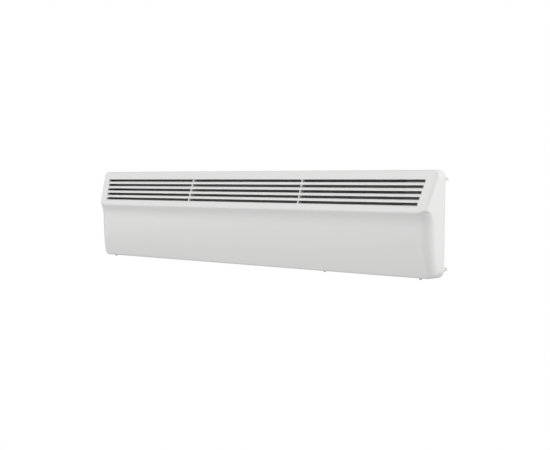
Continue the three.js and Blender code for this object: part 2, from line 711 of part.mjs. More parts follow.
function controlHousing() {
  const top = HEIGHT - PANEL_THICKNESS - GAP;
  const outer = box([STRIP.x0 + 1, STRIP.x1 - 1], [STRIP_Y - 5.5, STRIP_Y + 5.3], [HOUSING_Z, top]);
  const inner = box(
    [STRIP.x0 + 2, STRIP.x1 - 2],
    [STRIP_Y - 4.6, STRIP_Y + 4.4],
    [HOUSING_Z + SHEET, HEIGHT + 2],
  );
  const [wireWay, switchWay] = [[390, 420], [430, 440]].map((xs) =>
    box(xs, [STRIP_Y - 2.8, STRIP_Y + 2.7], [HOUSING_Z - 3, HOUSING_Z + 3]),
  );
  return cut(outer, inner, wireWay, switchWay);
}

add("control_housing", controlHousing(), "whitePlastic");

add(
  "switch_body",
  box(
    [ROCKER.x - 7.4, ROCKER.x + 7.4],
    [STRIP_Y - 4.2, STRIP_Y + 4.2],
    [HOUSING_Z + SHEET + 0.4, ROCKER.pivotZ - 1.9],
  ),
  "black",
);

function rocker() {
  const { x, half, rise, tilt, pivotZ } = ROCKER;
  const outline = new THREE.Shape();
  outline.moveTo(-half + 0.6, -0.5);
  outline.lineTo(half - 0.6, -0.5);
  outline.lineTo(half, rise);
  outline.quadraticCurveTo(0, rise - 1.5, -half, rise);
  const cap = alongY(outline, [STRIP_Y - 3.6, STRIP_Y + 3.6], 5);
  return cap.rotateY(THREE.MathUtils.degToRad(tilt)).translate(x, 0, pivotZ);
}

add("power_switch", rocker(), "black");

// ---------------------------------------------------------------- wiring

const WIRES = {
  wire_supply_live: ["brown", [
    [417, 3, 58.4], [417, 2, 75], [424, 2, 110], [434, 0, 150], [435, -5, 185], [435, -7.5, 203.8],
  ]],
  wire_supply_neutral: ["blue", [
    [427, 5, 58.4], [427, 6, 75], [420, 6, 110], [414, 4, 150], [412, -5, 185], [412, -7.5, 207],
  ]],
  wire_board_to_cutout: ["brown", [
    [404.5, -7.5, 207], [404, -6, 190], [398, 1, 160], [370, -2, 140], [330, -4, 127],
    [308, -6, 121], [304, -8, 117.8],
  ]],
  wire_cutout_to_core: ["brown", [
    [296, -8, 117.8], [296, -5, 124], [310, 5, 131], [350, 6, 137], [392, 6, 137],
    [406, 3, 126], [409, -5, 90], [412, -10, 68], [413.5, -11, 57],
  ]],
  wire_core_return: ["blue", [
    [-413.5, -11, 53], [-416, -6, 40], [-414, 3, 27], [-380, 6, 22], [0, 6.5, 20],
    [380, 6, 21], [402, 6, 25], [412, 5, 33], [418, 5, 40.4],
  ]],
  wire_earth: ["green", [
    [437, 5, 58.4], [437.5, 5, 64], [440, 6, 70], [442, 7, 78], [442, 8, 86],
  ]],
  wire_sensor: ["black", [
    [204, -14, 11.6], [206, -12, 15], [226, 0, 27], [300, 4, 27], [390, 4, 29], [407, -3, 33],
    [443, -5, 44], [443, -5, 90], [443, -6, 150], [438, -12, 180], [424, -12, 192],
    [417, -8.5, 199], [417, -7.5, 207],
  ]],
};

Object.entries(WIRES).forEach(([name, [finish, points]]) => add(name, wire(points), finish));

// ---------------------------------------------------------------- wall bracket and its latches

function wallBracket() {
  const { half, low, high, sheet } = BRACKET;
  const middle = HEIGHT / 2;
  const back = [-sheet, 0];
  const plateShape = roundedRectangle([-half, half], [low - middle, high - middle], 8);
  [-200, 200].forEach((x) =>
    [-25, 25].forEach((z) => plateShape.holes.push(circle(x, z, 2.75))),
  );
  [-130, 50].forEach((x) => plateShape.holes.push(roundedRectangle([x, x + 80], [-18, 18], 6)));
  const plate = alongY(plateShape, back, 3);
  const lipY = -WALL_GAP + TRAY.depth - SHEET - 2;
  const hooks = SIDES.flatMap(([, side]) =>
    HOOK.levels.map((level) => {
      const z = level - middle;
      const xs = [side * HOOK.x - HOOK.width / 2, side * HOOK.x + HOOK.width / 2];
      const hookLine = polygon([
        [-0.5, z], [-0.5, z + sheet], [lipY, z + sheet], [lipY, z + HOOK.lip],
        [lipY - sheet, z + HOOK.lip], [lipY - sheet, z],
      ]);
      return alongX(hookLine, xs);
    }),
  );
  const tabTop = LATCH.z - 0.4 - middle;
  const straps = SIDES.map(([, side]) => {
    const xs = [side * LATCH.x - 9, side * LATCH.x + 9];
    const strap = polygon([
      [0, high - middle - 4], [0, tabTop], [-15, tabTop], [-15, tabTop - sheet],
      [-sheet, tabTop - sheet], [-sheet, high - middle - 4],
    ]);
    const rivetWay = rodZ(2.3, [tabTop - 4, tabTop + 2], side * LATCH.x, LATCH.pivotY - WALL_GAP, 12);
    return cut(alongX(strap, xs), rivetWay);
  });
  return join(plate, ...hooks, ...straps);
}

add("wall_bracket", wallBracket(), "zinc", heater);

SIDES.forEach(([name, side]) => {
  const x = side * LATCH.x;
  const { pivotY, reach, width, thickness, z } = LATCH;
  const arm = new THREE.Shape();
  arm.absarc(x, pivotY, width / 2, 0, Math.PI);
  arm.absarc(x, pivotY - reach + width / 2, width / 2, Math.PI, 2 * Math.PI);
  const fin = box([x - 1, x + 1], [pivotY - reach + 2, pivotY - 5], [z + thickness - 0.5, z + 9]);
  const latch = cut(
    join(alongZ(arm, [z, z + thickness], 6), fin),
    rodZ(2.3, [z - 2, z + thickness + 2], x, pivotY, 12),
  );
  add("latch_" + name, latch, "whitePlastic");
  const head = rodZ(3.4, [z + thickness + GAP, z + thickness + 1.8], x, pivotY, 12);
  const shank = rodZ(2, [z - 3.6, z + thickness + 1], x, pivotY, 12);
  const upset = rodZ(3.2, [z - 3.8, z - 0.4 - BRACKET.sheet - GAP], x, pivotY, 12);
  add("latch_rivet_" + name, join(head, shank, upset), "steel");
});

export default heater;
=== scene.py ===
# The looks of a low wall-hung convector heater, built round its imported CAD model. Blender 4.5, metres.
#
# Shapes are worked out in the casing's own millimetres, as the CAD model does: X along the heater, y = 0
# at the casing's rear edge with the front at -y, and z = 0 at its underside. at() turns them into the row
# frame. Pieces with a new shape replace their CAD nodes; the others keep theirs, with rounded edges.
import json
import math

import bmesh
import bpy
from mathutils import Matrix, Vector


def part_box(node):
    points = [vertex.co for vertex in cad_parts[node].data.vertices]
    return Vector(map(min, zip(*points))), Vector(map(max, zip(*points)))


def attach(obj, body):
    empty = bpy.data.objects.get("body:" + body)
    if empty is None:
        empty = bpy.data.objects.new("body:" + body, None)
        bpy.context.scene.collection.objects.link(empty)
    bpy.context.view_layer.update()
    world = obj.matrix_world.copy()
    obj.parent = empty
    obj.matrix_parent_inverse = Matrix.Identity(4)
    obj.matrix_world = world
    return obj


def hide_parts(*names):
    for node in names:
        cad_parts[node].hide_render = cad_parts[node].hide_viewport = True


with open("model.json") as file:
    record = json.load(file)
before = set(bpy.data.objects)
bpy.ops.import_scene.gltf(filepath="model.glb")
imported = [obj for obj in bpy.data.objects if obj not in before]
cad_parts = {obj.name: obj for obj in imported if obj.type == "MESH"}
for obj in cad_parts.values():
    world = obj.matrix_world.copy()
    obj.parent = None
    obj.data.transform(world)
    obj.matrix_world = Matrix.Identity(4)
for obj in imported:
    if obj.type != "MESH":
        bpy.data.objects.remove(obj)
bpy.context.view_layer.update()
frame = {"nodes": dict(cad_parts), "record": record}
NODES = frame["nodes"]
BODY_OF = {node: body for body, nodes in frame["record"]["behaviour"]["bodies"].items() for node in nodes}
SLOT_OF = {entry["node"]: entry["material_slot"] for entry in frame["record"]["subparts"]}

# ---- driving sizes, in millimetres

MM = 0.001
CASING_LOW, CASING_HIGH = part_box("front_casing")
HALF_WIDTH = CASING_HIGH.x / MM
HEIGHT = (CASING_HIGH.z - CASING_LOW.z) / MM
REAR_Y = CASING_HIGH.y
WALL = 1.3
NOSE = (52.4, 134.0)  # depth and height of the ridge under the grille
TOP_DEPTH = 17.4
BOTTOM_DEPTH = 28.0
PANEL_DEPTH = 42.4
PANEL_UPRIGHT = (95.0, 98.0)  # the heights between which the lower panel stands upright
DRAFT = 0.434  # how far an end face leans in for each millimetre forward
RIM = 2.0  # depth of the square rim along the rear edge
TOP_CORNER = 14.0
BOTTOM_CORNER = 16.0
FOLD_RADIUS = 6.0  # between the grille and the end faces
END_RADIUS = 29.0  # between the lower panel and the end faces, at the nose
LOW_END_SHARE, LOW_END_Z = 0.7, 75.0  # the share of it left at the bottom, and where it starts to shrink
NOSE_BLEND = 7.0  # height over which the fold beside the grille widens into the round end
SLOPE = (NOSE[0] - TOP_DEPTH) / (HEIGHT - NOSE[1])  # depth that the grille's face loses for each mm up
SLOT_ROWS, SLOT_TOP, SLOT_PITCH, SLOT_HEIGHT = 5, 197.3, 11.6, 5.7
SLOT_END_TOP, SLOT_END_BOTTOM = 437.0, 428.0
LIP_RADIUS = 5.0  # of the rounded lower lip of each slot
MULLION_X, MULLION_WIDTH, MULLION_DEPTH = 153.0, 2.4, 17.0
BLADE_DEPTH = 5.0
BACKING_ZS = (145.0, 202.5)  # the thickened band behind the grille that makes its blades deep
RIB_ZS = (146.0, 190.0, 206.0)  # a mullion is deep up to the second height, then tapers to the third
SIDES = {"left": -1, "right": 1}  # with the way that each lies along X
HOLE_GAP = 0.3  # round each piece that sits in a hole of another
CASING_SCREW_HOLE = 1.7


def at(x, y, z):
    """A point of the casing's frame, in millimetres, as a point of the row frame, in metres."""
    return Vector((x * MM, REAR_Y + y * MM, CASING_LOW.z + z * MM))


def node_box(node):
    """A CAD node's lowest and highest corners, in the casing's millimetres."""
    low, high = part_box(node)
    origin = at(0, 0, 0)
    return (low - origin) / MM, (high - origin) / MM


# ---- mesh helpers


def mesh_object(name, points, faces):
    """A new object in the scene, its faces turned outwards."""
    mesh = bpy.data.meshes.new(name)
    mesh.from_pydata([tuple(p) for p in points], [], faces)
    mesh.validate()
    work = bmesh.new()
    work.from_mesh(mesh)
    bmesh.ops.recalc_face_normals(work, faces=work.faces)
    work.to_mesh(mesh)
    work.free()
    piece = bpy.data.objects.new(name, mesh)
    bpy.context.scene.collection.objects.link(piece)
    return piece


def join(name, pieces):
    """One object holding the meshes of all the pieces, which must not touch."""
    points, faces = [], []
    for piece in pieces:
        start = len(points)
        points += [piece.matrix_world @ v.co for v in piece.data.vertices]
        faces += [[start + i for i in f.vertices] for f in piece.data.polygons]
        bpy.data.objects.remove(piece)
    return mesh_object(name, points, faces)


def prism(name, outline, low, high, axis):
    """A closed outline of (a, b) points along an axis: x takes (y, z), y takes (x, z), z takes (x, y)."""
    to_frame = {
        "x": lambda a, b, c: at(c, a, b),
        "y": lambda a, b, c: at(a, c, b),
        "z": lambda a, b, c: at(a, b, c),
    }[axis]
    points = [to_frame(a, b, level) for level in (low, high) for a, b in outline]
    return mesh_object(name, points, prism_faces(len(outline)))


def prism_faces(count):
    """The faces of a prism whose lower outline's points come first, then its upper outline's."""
    sides = [[i, (i + 1) % count, count + (i + 1) % count, count + i] for i in range(count)]
    return [list(range(count)), list(range(count, 2 * count)), *sides]


def through(outline, low, high, axis="z", spare=1):
    """A cutter for a hole right through what lies between two levels."""
    return prism("cutter", outline, low - spare, high + spare, axis)


def arc(cx, cy, radius, start, end, steps):
    """Points on an arc, with its angles in degrees."""
    turns = [math.radians(start + (end - start) * i / steps) for i in range(steps + 1)]
    return [(cx + radius * math.cos(t), cy + radius * math.sin(t)) for t in turns]


def circle(cx, cy, radius, sides=48):
    return arc(cx, cy, radius, 0, 360, sides)[:-1]


def rounded_rectangle(xs, ys, low_radius, high_radius=None, steps=8):
    """A rectangle's outline with round corners, whose two upper corners may differ from the lower two."""
    high_radius = low_radius if high_radius is None else high_radius
    (x0, x1), (y0, y1) = xs, ys
    return (
        arc(x1 - low_radius, y0 + low_radius, low_radius, -90, 0, steps)
        + arc(x1 - high_radius, y1 - high_radius, high_radius, 0, 90, steps)
        + arc(x0 + high_radius, y1 - high_radius, high_radius, 90, 180, steps)
        + arc(x0 + low_radius, y0 + low_radius, low_radius, 180, 270, steps)
    )


def lathe(name, profile, centre, axis, sides=48):
    """A turned piece from (radius, distance) points, about an axis through a point of the casing frame."""
    to_frame = {
        "x": lambda a, b, c: at(centre[0] + c, centre[1] + a, centre[2] + b),
        "y": lambda a, b, c: at(centre[0] + a, centre[1] + c, centre[2] + b),
        "z": lambda a, b, c: at(centre[0] + a, centre[1] + b, centre[2] + c),
    }[axis]
    closed = profile[0] == profile[-1]
    points, faces, rings = [], [], []
    for radius, distance in profile[:-1] if closed else profile:
        spots = circle(0, 0, radius, sides) if radius else [(0, 0)]
        rings.append(range(len(points), len(points) + len(spots)))
        points += [to_frame(a, b, distance) for a, b in spots]
    for below, above in zip(rings, rings[1:] + rings[:1] if closed else rings[1:]):
        for i in range(sides):
            j = (i + 1) % sides
            corners = ((below, i), (below, j), (above, j), (above, i))
            face = list(dict.fromkeys(level[k % len(level)] for level, k in corners))
            if len(face) > 2:
                faces.append(face)
    return mesh_object(name, points, faces)


def boolean(piece, other, operation):
    change = piece.modifiers.new("boolean", "BOOLEAN")
    change.operation = operation
    change.solver = "MANIFOLD"
    change.object = other
    apply_modifiers(piece)
    bpy.data.objects.remove(other)
    return piece


def unite(piece, other):
    """Makes one solid of two. The other piece is used up."""
    return boolean(piece, other, "UNION")


def cut(piece, *cutters):
    """Cuts shapes, none touching another, out of a piece in one step, and uses them up."""
    return boolean(piece, join("cutters", cutters), "DIFFERENCE")


def apply_modifiers(piece):
    """Puts the result of a piece's modifiers into its mesh."""
    bpy.context.view_layer.update()
    evaluated = piece.evaluated_get(bpy.context.evaluated_depsgraph_get())
    mesh = bpy.data.meshes.new_from_object(evaluated)
    piece.modifiers.clear()
    piece.data = mesh


def smooth(piece, angle=30):
    """Smooth shading that keeps the edges sharper than the angle, and keeps broad faces flat."""
    work = bmesh.new()
    work.from_mesh(piece.data)
    for face in work.faces:
        face.smooth = True
    limit = math.radians(angle)
    for edge in work.edges:
        edge.smooth = len(edge.link_faces) == 2 and edge.calc_face_angle(0) < limit
    work.to_mesh(piece.data)
    work.free()
    weigh = piece.modifiers.new("weigh", "WEIGHTED_NORMAL")
    weigh.keep_sharp = True
    weigh.weight = 80
    apply_modifiers(piece)
    return piece


def rounded(piece, width, segments=3, angle=30):
    """Rounded edges, width in millimetres, on a piece made of flat faces."""
    bevel = piece.modifiers.new("bevel", "BEVEL")
    bevel.width = width * MM
    bevel.segments = segments
    bevel.limit_method = "ANGLE"
    bevel.angle_limit = math.radians(angle)
    bevel.use_clamp_overlap = True
    apply_modifiers(piece)
    return piece


SHAPED = set()  # the nodes that already have their piece


def place(piece, node):
    """Puts a finished piece in place of a CAD node."""
    SHAPED.add(node)
    piece.data.materials.clear()
    piece.data.materials.append(MATERIALS[SLOT_OF[node]])
    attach(piece, BODY_OF[node])
    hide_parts(node)
    return piece


def copied(node):
    """A copy of a CAD node's shape, with its flat faces made whole again."""
    source = NODES[node]
    piece = bpy.data.objects.new(node + "_shaped", source.data.copy())
    bpy.context.scene.collection.objects.link(piece)
    work = bmesh.new()
    work.from_mesh(piece.data)
    bmesh.ops.remove_doubles(work, verts=work.verts, dist=1e-6)
    bmesh.ops.dissolve_limit(work, angle_limit=math.radians(1), verts=work.verts, edges=work.edges)
    bmesh.ops.recalc_face_normals(work, faces=work.faces)
    work.to_mesh(piece.data)
    work.free()
    return piece


# ---- materials


def node_material(name):
    """A new material with its node tree and its shader."""
    material = bpy.data.materials.new(name)
    material.use_nodes = True
    tree = material.node_tree
    return material, tree, tree.nodes["Principled BSDF"]


def add(tree, kind, values=None):
    """A new node, with its inputs' values given by name."""
    node = tree.nodes.new(kind)
    for name, value in (values or {}).items():
        node.inputs[name].default_value = value
    return node


def object_point(tree):
    return add(tree, "ShaderNodeTexCoord").outputs["Object"]


def noise(tree, scale, detail=3.0, stretch=(1, 1, 1)):
    """A noise fixed to the object, its scale counted per metre."""
    mapping = add(tree, "ShaderNodeMapping", {"Scale": stretch})
    tree.links.new(object_point(tree), mapping.inputs["Vector"])
    texture = add(tree, "ShaderNodeTexNoise", {"Scale": scale, "Detail": detail})
    tree.links.new(mapping.outputs["Vector"], texture.inputs["Vector"])
    return texture.outputs["Fac"]


def spread(tree, source, low, high, span=(0.3, 0.7)):
    """Maps a value to a range. The span is where it mostly lies, which for a noise is 0.3 to 0.7."""
    limits = {"From Min": span[0], "From Max": span[1], "To Min": low, "To Max": high}
    ranged = add(tree, "ShaderNodeMapRange", limits)
    tree.links.new(source, ranged.inputs["Value"])
    return ranged.outputs["Result"]


def bumpy(tree, shader, height, distance):
    """Relief that stands out by the distance, in metres, where the height is 1."""
    bump = add(tree, "ShaderNodeBump", {"Strength": 1.0, "Distance": distance})
    tree.links.new(height, bump.inputs["Height"])
    tree.links.new(bump.outputs["Normal"], shader.inputs["Normal"])


def mixed(tree, shader, factor, colours):
    """A base colour that goes from the first to the second."""
    mix = tree.nodes.new("ShaderNodeMix")
    mix.data_type = "RGBA"
    for socket, colour in zip("AB", colours):
        mix.inputs[socket].default_value = (*colour, 1)
    tree.links.new(factor, mix.inputs["Factor"])
    tree.links.new(mix.outputs["Result"], shader.inputs["Base Color"])


def surface(name, colour, roughness, metal=0.0, drift=0.02, grain=900.0, depth=2e-5, stretch=(1, 1, 1)):
    """The common build: slow drift of colour by a share, fine grain in roughness, and fine relief."""
    material, tree, shader = node_material(name)
    shader.inputs["Metallic"].default_value = metal
    darker = [c * (1 - drift) for c in colour]
    lighter = [min(c * (1 + drift), 1) for c in colour]
    mixed(tree, shader, spread(tree, noise(tree, 14.0, 2.0), 0, 1), (darker, lighter))
    fine = noise(tree, grain, 3.0, stretch)
    smoother, rougher = max(roughness - 0.06, 0.02), min(roughness + 0.06, 1)
    tree.links.new(spread(tree, fine, smoother, rougher), shader.inputs["Roughness"])
    bumpy(tree, shader, fine, depth)
    return material


def galvanised():
    """Zinc-coated sheet: pale grey with the soft spangle of its crystals."""
    material, tree, shader = node_material("galvanised_sheet")
    shader.inputs["Metallic"].default_value = 0.85
    spangle = add(tree, "ShaderNodeTexVoronoi", {"Scale": 190})
    tree.links.new(object_point(tree), spangle.inputs["Vector"])
    grey = add(tree, "ShaderNodeSeparateColor")
    tree.links.new(spangle.outputs["Color"], grey.inputs["Color"])
    mixed(tree, shader, grey.outputs["Red"], ((0.58, 0.60, 0.62), (0.70, 0.72, 0.73)))
    rough = spread(tree, grey.outputs["Green"], 0.34, 0.5, (0, 1))
    tree.links.new(rough, shader.inputs["Roughness"])
    bumpy(tree, shader, noise(tree, 700.0), 1e-5)
    return material


def circuit_board():
    """Green solder mask with paler tracks showing through it."""
    material, tree, shader = node_material("solder_mask")
    shader.inputs["Roughness"].default_value = 0.35
    greens = {"Color1": (0.02, 0.13, 0.05, 1), "Color2": (0.03, 0.17, 0.07, 1)}
    tracks = add(tree, "ShaderNodeTexBrick", {"Scale": 260, "Mortar": (0.08, 0.3, 0.14, 1), **greens})
    tree.links.new(object_point(tree), tracks.inputs["Vector"])
    tree.links.new(tracks.outputs["Color"], shader.inputs["Base Color"])
    bumpy(tree, shader, noise(tree, 500.0), 2e-5)
    return material


MATERIALS = {
    "white_powder_coat": surface("white_powder_coat", (0.80, 0.80, 0.795), 0.46, drift=0.006, depth=6e-6),
    "white_plastic": surface("white_plastic", (0.80, 0.80, 0.79), 0.42, drift=0.01, grain=1600, depth=6e-6),
    "galvanised_steel": galvanised(),
    "aluminium": surface("milled_aluminium", (0.78, 0.79, 0.80), 0.34, 1.0, 0.04, 500, 1e-5, (0.05, 1, 1)),
    # painted shade: this dark grey coat on the air guide behind the slots stands in for the shade inside
    # the casing that shows through the slots
    "dark_heat_coat": surface("dark_heat_coat", (0.2, 0.2, 0.196), 0.7, 0.0, 0.1, 1200),
    "plated_steel": surface("plated_steel", (0.60, 0.61, 0.62), 0.3, 1.0, 0.06, 1500, 1e-5),
    "steatite": surface("steatite", (0.84, 0.80, 0.71), 0.65, 0.0, 0.05, 1800, 3e-5),
    "black_plastic": surface("black_plastic", (0.025, 0.025, 0.028), 0.42, 0.0, 0.12, 1800, 1e-5),
    "display_gloss": surface("display_gloss", (0.008, 0.009, 0.012), 0.08, 0.0, 0.2, 300, 1e-6),
    "circuit_board": circuit_board(),
    "silicone": surface("silicone", (0.72, 0.72, 0.70), 0.75, 0.0, 0.03, 900),
    "brown_insulation": surface("brown_insulation", (0.16, 0.06, 0.02), 0.45, 0.0, 0.08),
    "blue_insulation": surface("blue_insulation", (0.02, 0.09, 0.36), 0.45, 0.0, 0.08),
    "green_insulation": surface("green_insulation", (0.10, 0.34, 0.06), 0.45, 0.0, 0.08),
    "black_insulation": surface("black_insulation", (0.02, 0.02, 0.02), 0.45, 0.0, 0.1),
}

# ---- front casing


def curve(p0, p1, p2, steps):
    """A quadratic curve, without its first point."""
    out = []
    for i in range(1, steps + 1):
        t = i / steps
        a, b, c = (1 - t) ** 2, 2 * t * (1 - t), t * t
        out.append((a * p0[0] + b * p1[0] + c * p2[0], a * p0[1] + b * p1[1] + c * p2[1]))
    return out


def straight(p0, p1, steps):
    """A straight run, without its first point."""
    (x0, y0), (x1, y1) = p0, p1
    return [(x0 + (x1 - x0) * i / steps, y0 + (y1 - y0) * i / steps) for i in range(1, steps + 1)]


def section():
    """The casing's section as (depth, z) points, from the lower rear edge round the front to the top."""
    nose_d, nose_z = NOSE
    bottom_fold, nose_fold, top_fold = 5, 3, 4  # how far each rounded edge reaches past its corner
    belly_z, flare_z = 52.5, 115.5  # where the two curves of the lower panel turn most
    points = [(0, 0), (RIM, 0)]
    points += straight(points[-1], (BOTTOM_DEPTH - bottom_fold, 0), 10)
    points += curve(points[-1], (BOTTOM_DEPTH, 0), (BOTTOM_DEPTH + 1.4, bottom_fold), 10)
    points += curve(points[-1], (PANEL_DEPTH, belly_z), (PANEL_DEPTH, PANEL_UPRIGHT[0]), 34)
    points += straight(points[-1], (PANEL_DEPTH, PANEL_UPRIGHT[1]), 2)
    points += curve(points[-1], (PANEL_DEPTH, flare_z), (nose_d - 3.9, nose_z - 7.2), 14)
    points += straight(points[-1], (nose_d - 1.7, nose_z - 2.5), 4)
    points += curve(points[-1], (nose_d, nose_z), (nose_d - nose_fold * SLOPE, nose_z + nose_fold), 10)
    points += straight(points[-1], (TOP_DEPTH + top_fold * SLOPE, HEIGHT - top_fold), 34)
    points += curve(points[-1], (TOP_DEPTH, HEIGHT), (TOP_DEPTH - top_fold, HEIGHT), 10)
    points += straight(points[-1], (RIM, HEIGHT), 6)
    return [*points, (0, HEIGHT)]


def inset_section(points, inset, rear):
    """The section moved inwards, with its two rear points brought to the depth given."""
    moved = []
    for i, (d, z) in enumerate(points):
        before, after = points[max(i - 1, 0)], points[min(i + 1, len(points) - 1)]
        run = Vector((after[0] - before[0], after[1] - before[1])).normalized()
        moved.append((d - run.y * inset, z + run.x * inset))
    moved[0] = (rear, moved[0][1])
    moved[-1] = (rear, moved[-1][1])
    return moved


def smooth_step(value, low, high):
    """Rises from 0 at the low value to 1 at the high one, with level ends."""
    t = min(max((value - low) / (high - low), 0), 1)
    return t * t * (3 - 2 * t)


def corner_rise(distance, radius):
    """How far a round corner's edge has left the straight edge, at a distance from the end."""
    past = min(max(radius - distance, 0), radius)
    return radius - math.sqrt(radius * radius - past * past)


def end_radius(z):
    """Radius between the front and the end faces: a tight fold beside the grille, a broad one below it."""
    broad = END_RADIUS * (LOW_END_SHARE + (1 - LOW_END_SHARE) * smooth_step(z, 0, LOW_END_Z))
    return FOLD_RADIUS + (broad - FOLD_RADIUS) * smooth_step(NOSE[1] + NOSE_BLEND - z, 0, NOSE_BLEND)


def end_depth(front, reach, radius):
    """The depth of the casing at a distance from its end, where the front turns into the end face."""
    turn = math.atan2(1, DRAFT)
    radius = min(radius, 1.5 * max(front - RIM, 0))  # the shallow folds can't hold a broad radius
    past = DRAFT * (front - RIM) + radius * math.tan(turn / 2) - reach
    if past <= 0:
        return front
    if past < radius * math.sin(turn):
        return front - radius + math.sqrt(radius * radius - past * past)
    return min(front, RIM + reach / DRAFT)


def casing_body(name, inset, rear):
    """The casing's solid form, or with an inset its hollow, lofted through sections along the heater."""
    outline = inset_section(section(), inset, rear)
    half = HALF_WIDTH - 1.1 * inset  # the end faces lean, so their inset is longer along the heater
    steps = [0, 0.15, 0.4, 0.8, 1.4]  # distances from the end, close together where it is round
    fine_zone, end_zone, middle_spans = 40, 66, 8
    while steps[-1] < end_zone:
        steps.append(steps[-1] + (0.8 if steps[-1] < fine_zone else 2))
    inner = [half - s for s in steps]
    spans = [-inner[-1] + 2 * inner[-1] * i / middle_spans for i in range(1, middle_spans)]
    stations = [-x for x in inner] + spans + inner[::-1]
    count = len(outline)
    points = []
    for x in stations:
        for d, z in outline:
            depth = d if d <= 0 else end_depth(d, half - abs(x), max(end_radius(z) - inset, 1))
            inside = half - DRAFT * max(depth - RIM, 0) - abs(x)
            low = corner_rise(inside, BOTTOM_CORNER - inset) + inset
            high = HEIGHT - inset - corner_rise(inside, TOP_CORNER - inset)
            share = (z - inset) / (HEIGHT - 2 * inset)
            points.append(at(x, -depth, low + (high - low) * share))
    faces = []
    for i in range(len(stations) - 1):
        for j in range(count):
            a, b = i * count + j, i * count + (j + 1) % count
            faces.append([a, b, b + count, a + count])
    faces += [list(range(count)), list(range((len(stations) - 1) * count, len(stations) * count))]
    return mesh_object(name, points, faces)


def face_depth(z):
    """Depth of the grille's sloped face at a height."""
    return TOP_DEPTH + SLOPE * (HEIGHT - z)


def behind_face(*points):
    """An outline in (y, z) from points given by their distance behind the grille's face and height."""
    return [(distance - face_depth(z), z) for distance, z in points]


def slot_outline(z):
    """A slot's section in (y, z): square at its upper edge, rolled over at its lower lip."""
    upper, lower = z + SLOT_HEIGHT / 2, z - SLOT_HEIGHT / 2
    clear, flare = 12, 0.7  # how far the cutter stands out in front, and how far the upper edge opens
    front, back = -face_depth(lower) - clear, -face_depth(upper) + 9
    face_angle = math.degrees(math.atan2(1, SLOPE))
    lip_y = -face_depth(lower) + LIP_RADIUS * math.tan(math.radians(face_angle / 2))
    last = face_angle - 9  # the lip meets the face at a slight edge
    lip = arc(lip_y, lower - LIP_RADIUS, LIP_RADIUS, 90, 90 + last, 10)
    end = (lip[-1][0] - clear, lip[-1][1] - clear * math.tan(math.radians(last)))
    edge = -face_depth(upper)
    upper_edge = [(back, upper), (edge + 0.5, upper), (edge - 0.6, upper + flare), (front, upper + flare)]
    return [*upper_edge, end, *lip[::-1], (back, lower)]


def slot_cutters():
    """One closed cutter for each slot."""
    inner, outer = MULLION_X - MULLION_WIDTH / 2, MULLION_X + MULLION_WIDTH / 2
    cutters = []
    for row in range(SLOT_ROWS):
        outline = slot_outline(SLOT_TOP - row * SLOT_PITCH)
        end = SLOT_END_TOP + (SLOT_END_BOTTOM - SLOT_END_TOP) * row / (SLOT_ROWS - 1)
        for low, high in ((-end, -outer), (-inner, inner), (outer, end)):
            cutters.append(prism("slot", outline, low, high, "x"))
    return cutters


def screw_bosses():
    """Four blind bosses for the tray's screws, each held to its end face by a web."""
    radius, bore_radius, front, back = 3.4, 1.8, -17, -2
    bosses = []
    for side, way in SIDES.items():
        for level in ("lower_", "upper_"):
            screw_at = middle_of("tray_screw_" + level + side)
            x, z = screw_at.x, screw_at.z
            boss = prism("boss", circle(x, z, radius), front, back, "y")
            web = [(x, front + 3), (x + way * 8.2, front + 3), (x + way * 13, back - 2), (x, back - 2)]
            unite(boss, prism("web", web, z - 1, z + 1, "z"))
            bore = prism("bore", circle(x, z, bore_radius), front + 2, back + 1, "y")
            bosses.append(cut(boss, bore))
    return join("bosses", bosses)


def front_casing():
    """The pressed cover: hollow, open at the back, with its slots, mullions and screw bosses."""
    casing = casing_body("casing_shell", 0, 0)
    cut(casing, casing_body("casing_hollow", WALL, rear=-3))
    low, high = BACKING_ZS
    backing = behind_face((WALL / 2, low), (BLADE_DEPTH, low), (BLADE_DEPTH, high), (WALL / 2, high))
    unite(casing, prism("backing", backing, -SLOT_END_TOP - 4, SLOT_END_TOP + 4, "x"))
    panel = middle_of("control_panel")
    panel_half = node_box("control_panel")[1] - panel
    strip = rectangle(panel.x, panel.y, panel_half.x + HOLE_GAP, panel_half.y + HOLE_GAP)
    intake = rounded_rectangle((-408, 408), (-21.5, -5), 3)
    cutters = [*slot_cutters(), through(strip, HEIGHT, HEIGHT, spare=5), through(intake, 0, 0, spare=5)]
    for side in SIDES:
        spot = middle_of("casing_screw_" + side)
        cutters.append(through(circle(spot.x, spot.y, CASING_SCREW_HOLE, 24), 0, 0, spare=5))
    cut(casing, *cutters)
    low, middle, high = RIB_ZS
    deep = [(MULLION_DEPTH, low), (MULLION_DEPTH, middle), (MULLION_DEPTH / 3, high)]
    rib, half = behind_face((WALL / 2, low), *deep, (WALL / 2, high)), MULLION_WIDTH / 2
    for x in (-MULLION_X, MULLION_X):
        unite(casing, prism("rib", rib, x - half, x + half, "x"))
    unite(casing, screw_bosses())
    smooth(casing, 28)
    return place(casing, "front_casing")


# ---- shared small shapes


def finished(piece, node, edge=0.0, angle=35):
    """Rounds a piece's edges where a width is given, shades it, and puts it in place of its node."""
    if edge:
        rounded(piece, edge)
    smooth(piece, angle)
    return place(piece, node)


def extent(node):
    """A CAD node's lowest and highest corners and its middle, in the casing's millimetres."""
    low, high = node_box(node)
    return low, high, (low + high) / 2


def middle_of(node):
    return extent(node)[2]


def rectangle(cx, cy, half_width, half_height):
    x0, x1, y0, y1 = cx - half_width, cx + half_width, cy - half_height, cy + half_height
    return [(x0, y0), (x1, y0), (x1, y1), (x0, y1)]


def plus(cx, cy, reach, half):
    """The outline of a cross."""
    points = []
    for turn in (0, 90, 180, 270):
        c, s = round(math.cos(math.radians(turn))), round(math.sin(math.radians(turn)))
        for a, b in ((reach, -half), (reach, half), (half, half)):
            points.append((cx + a * c - b * s, cy + a * s + b * c))
    return points


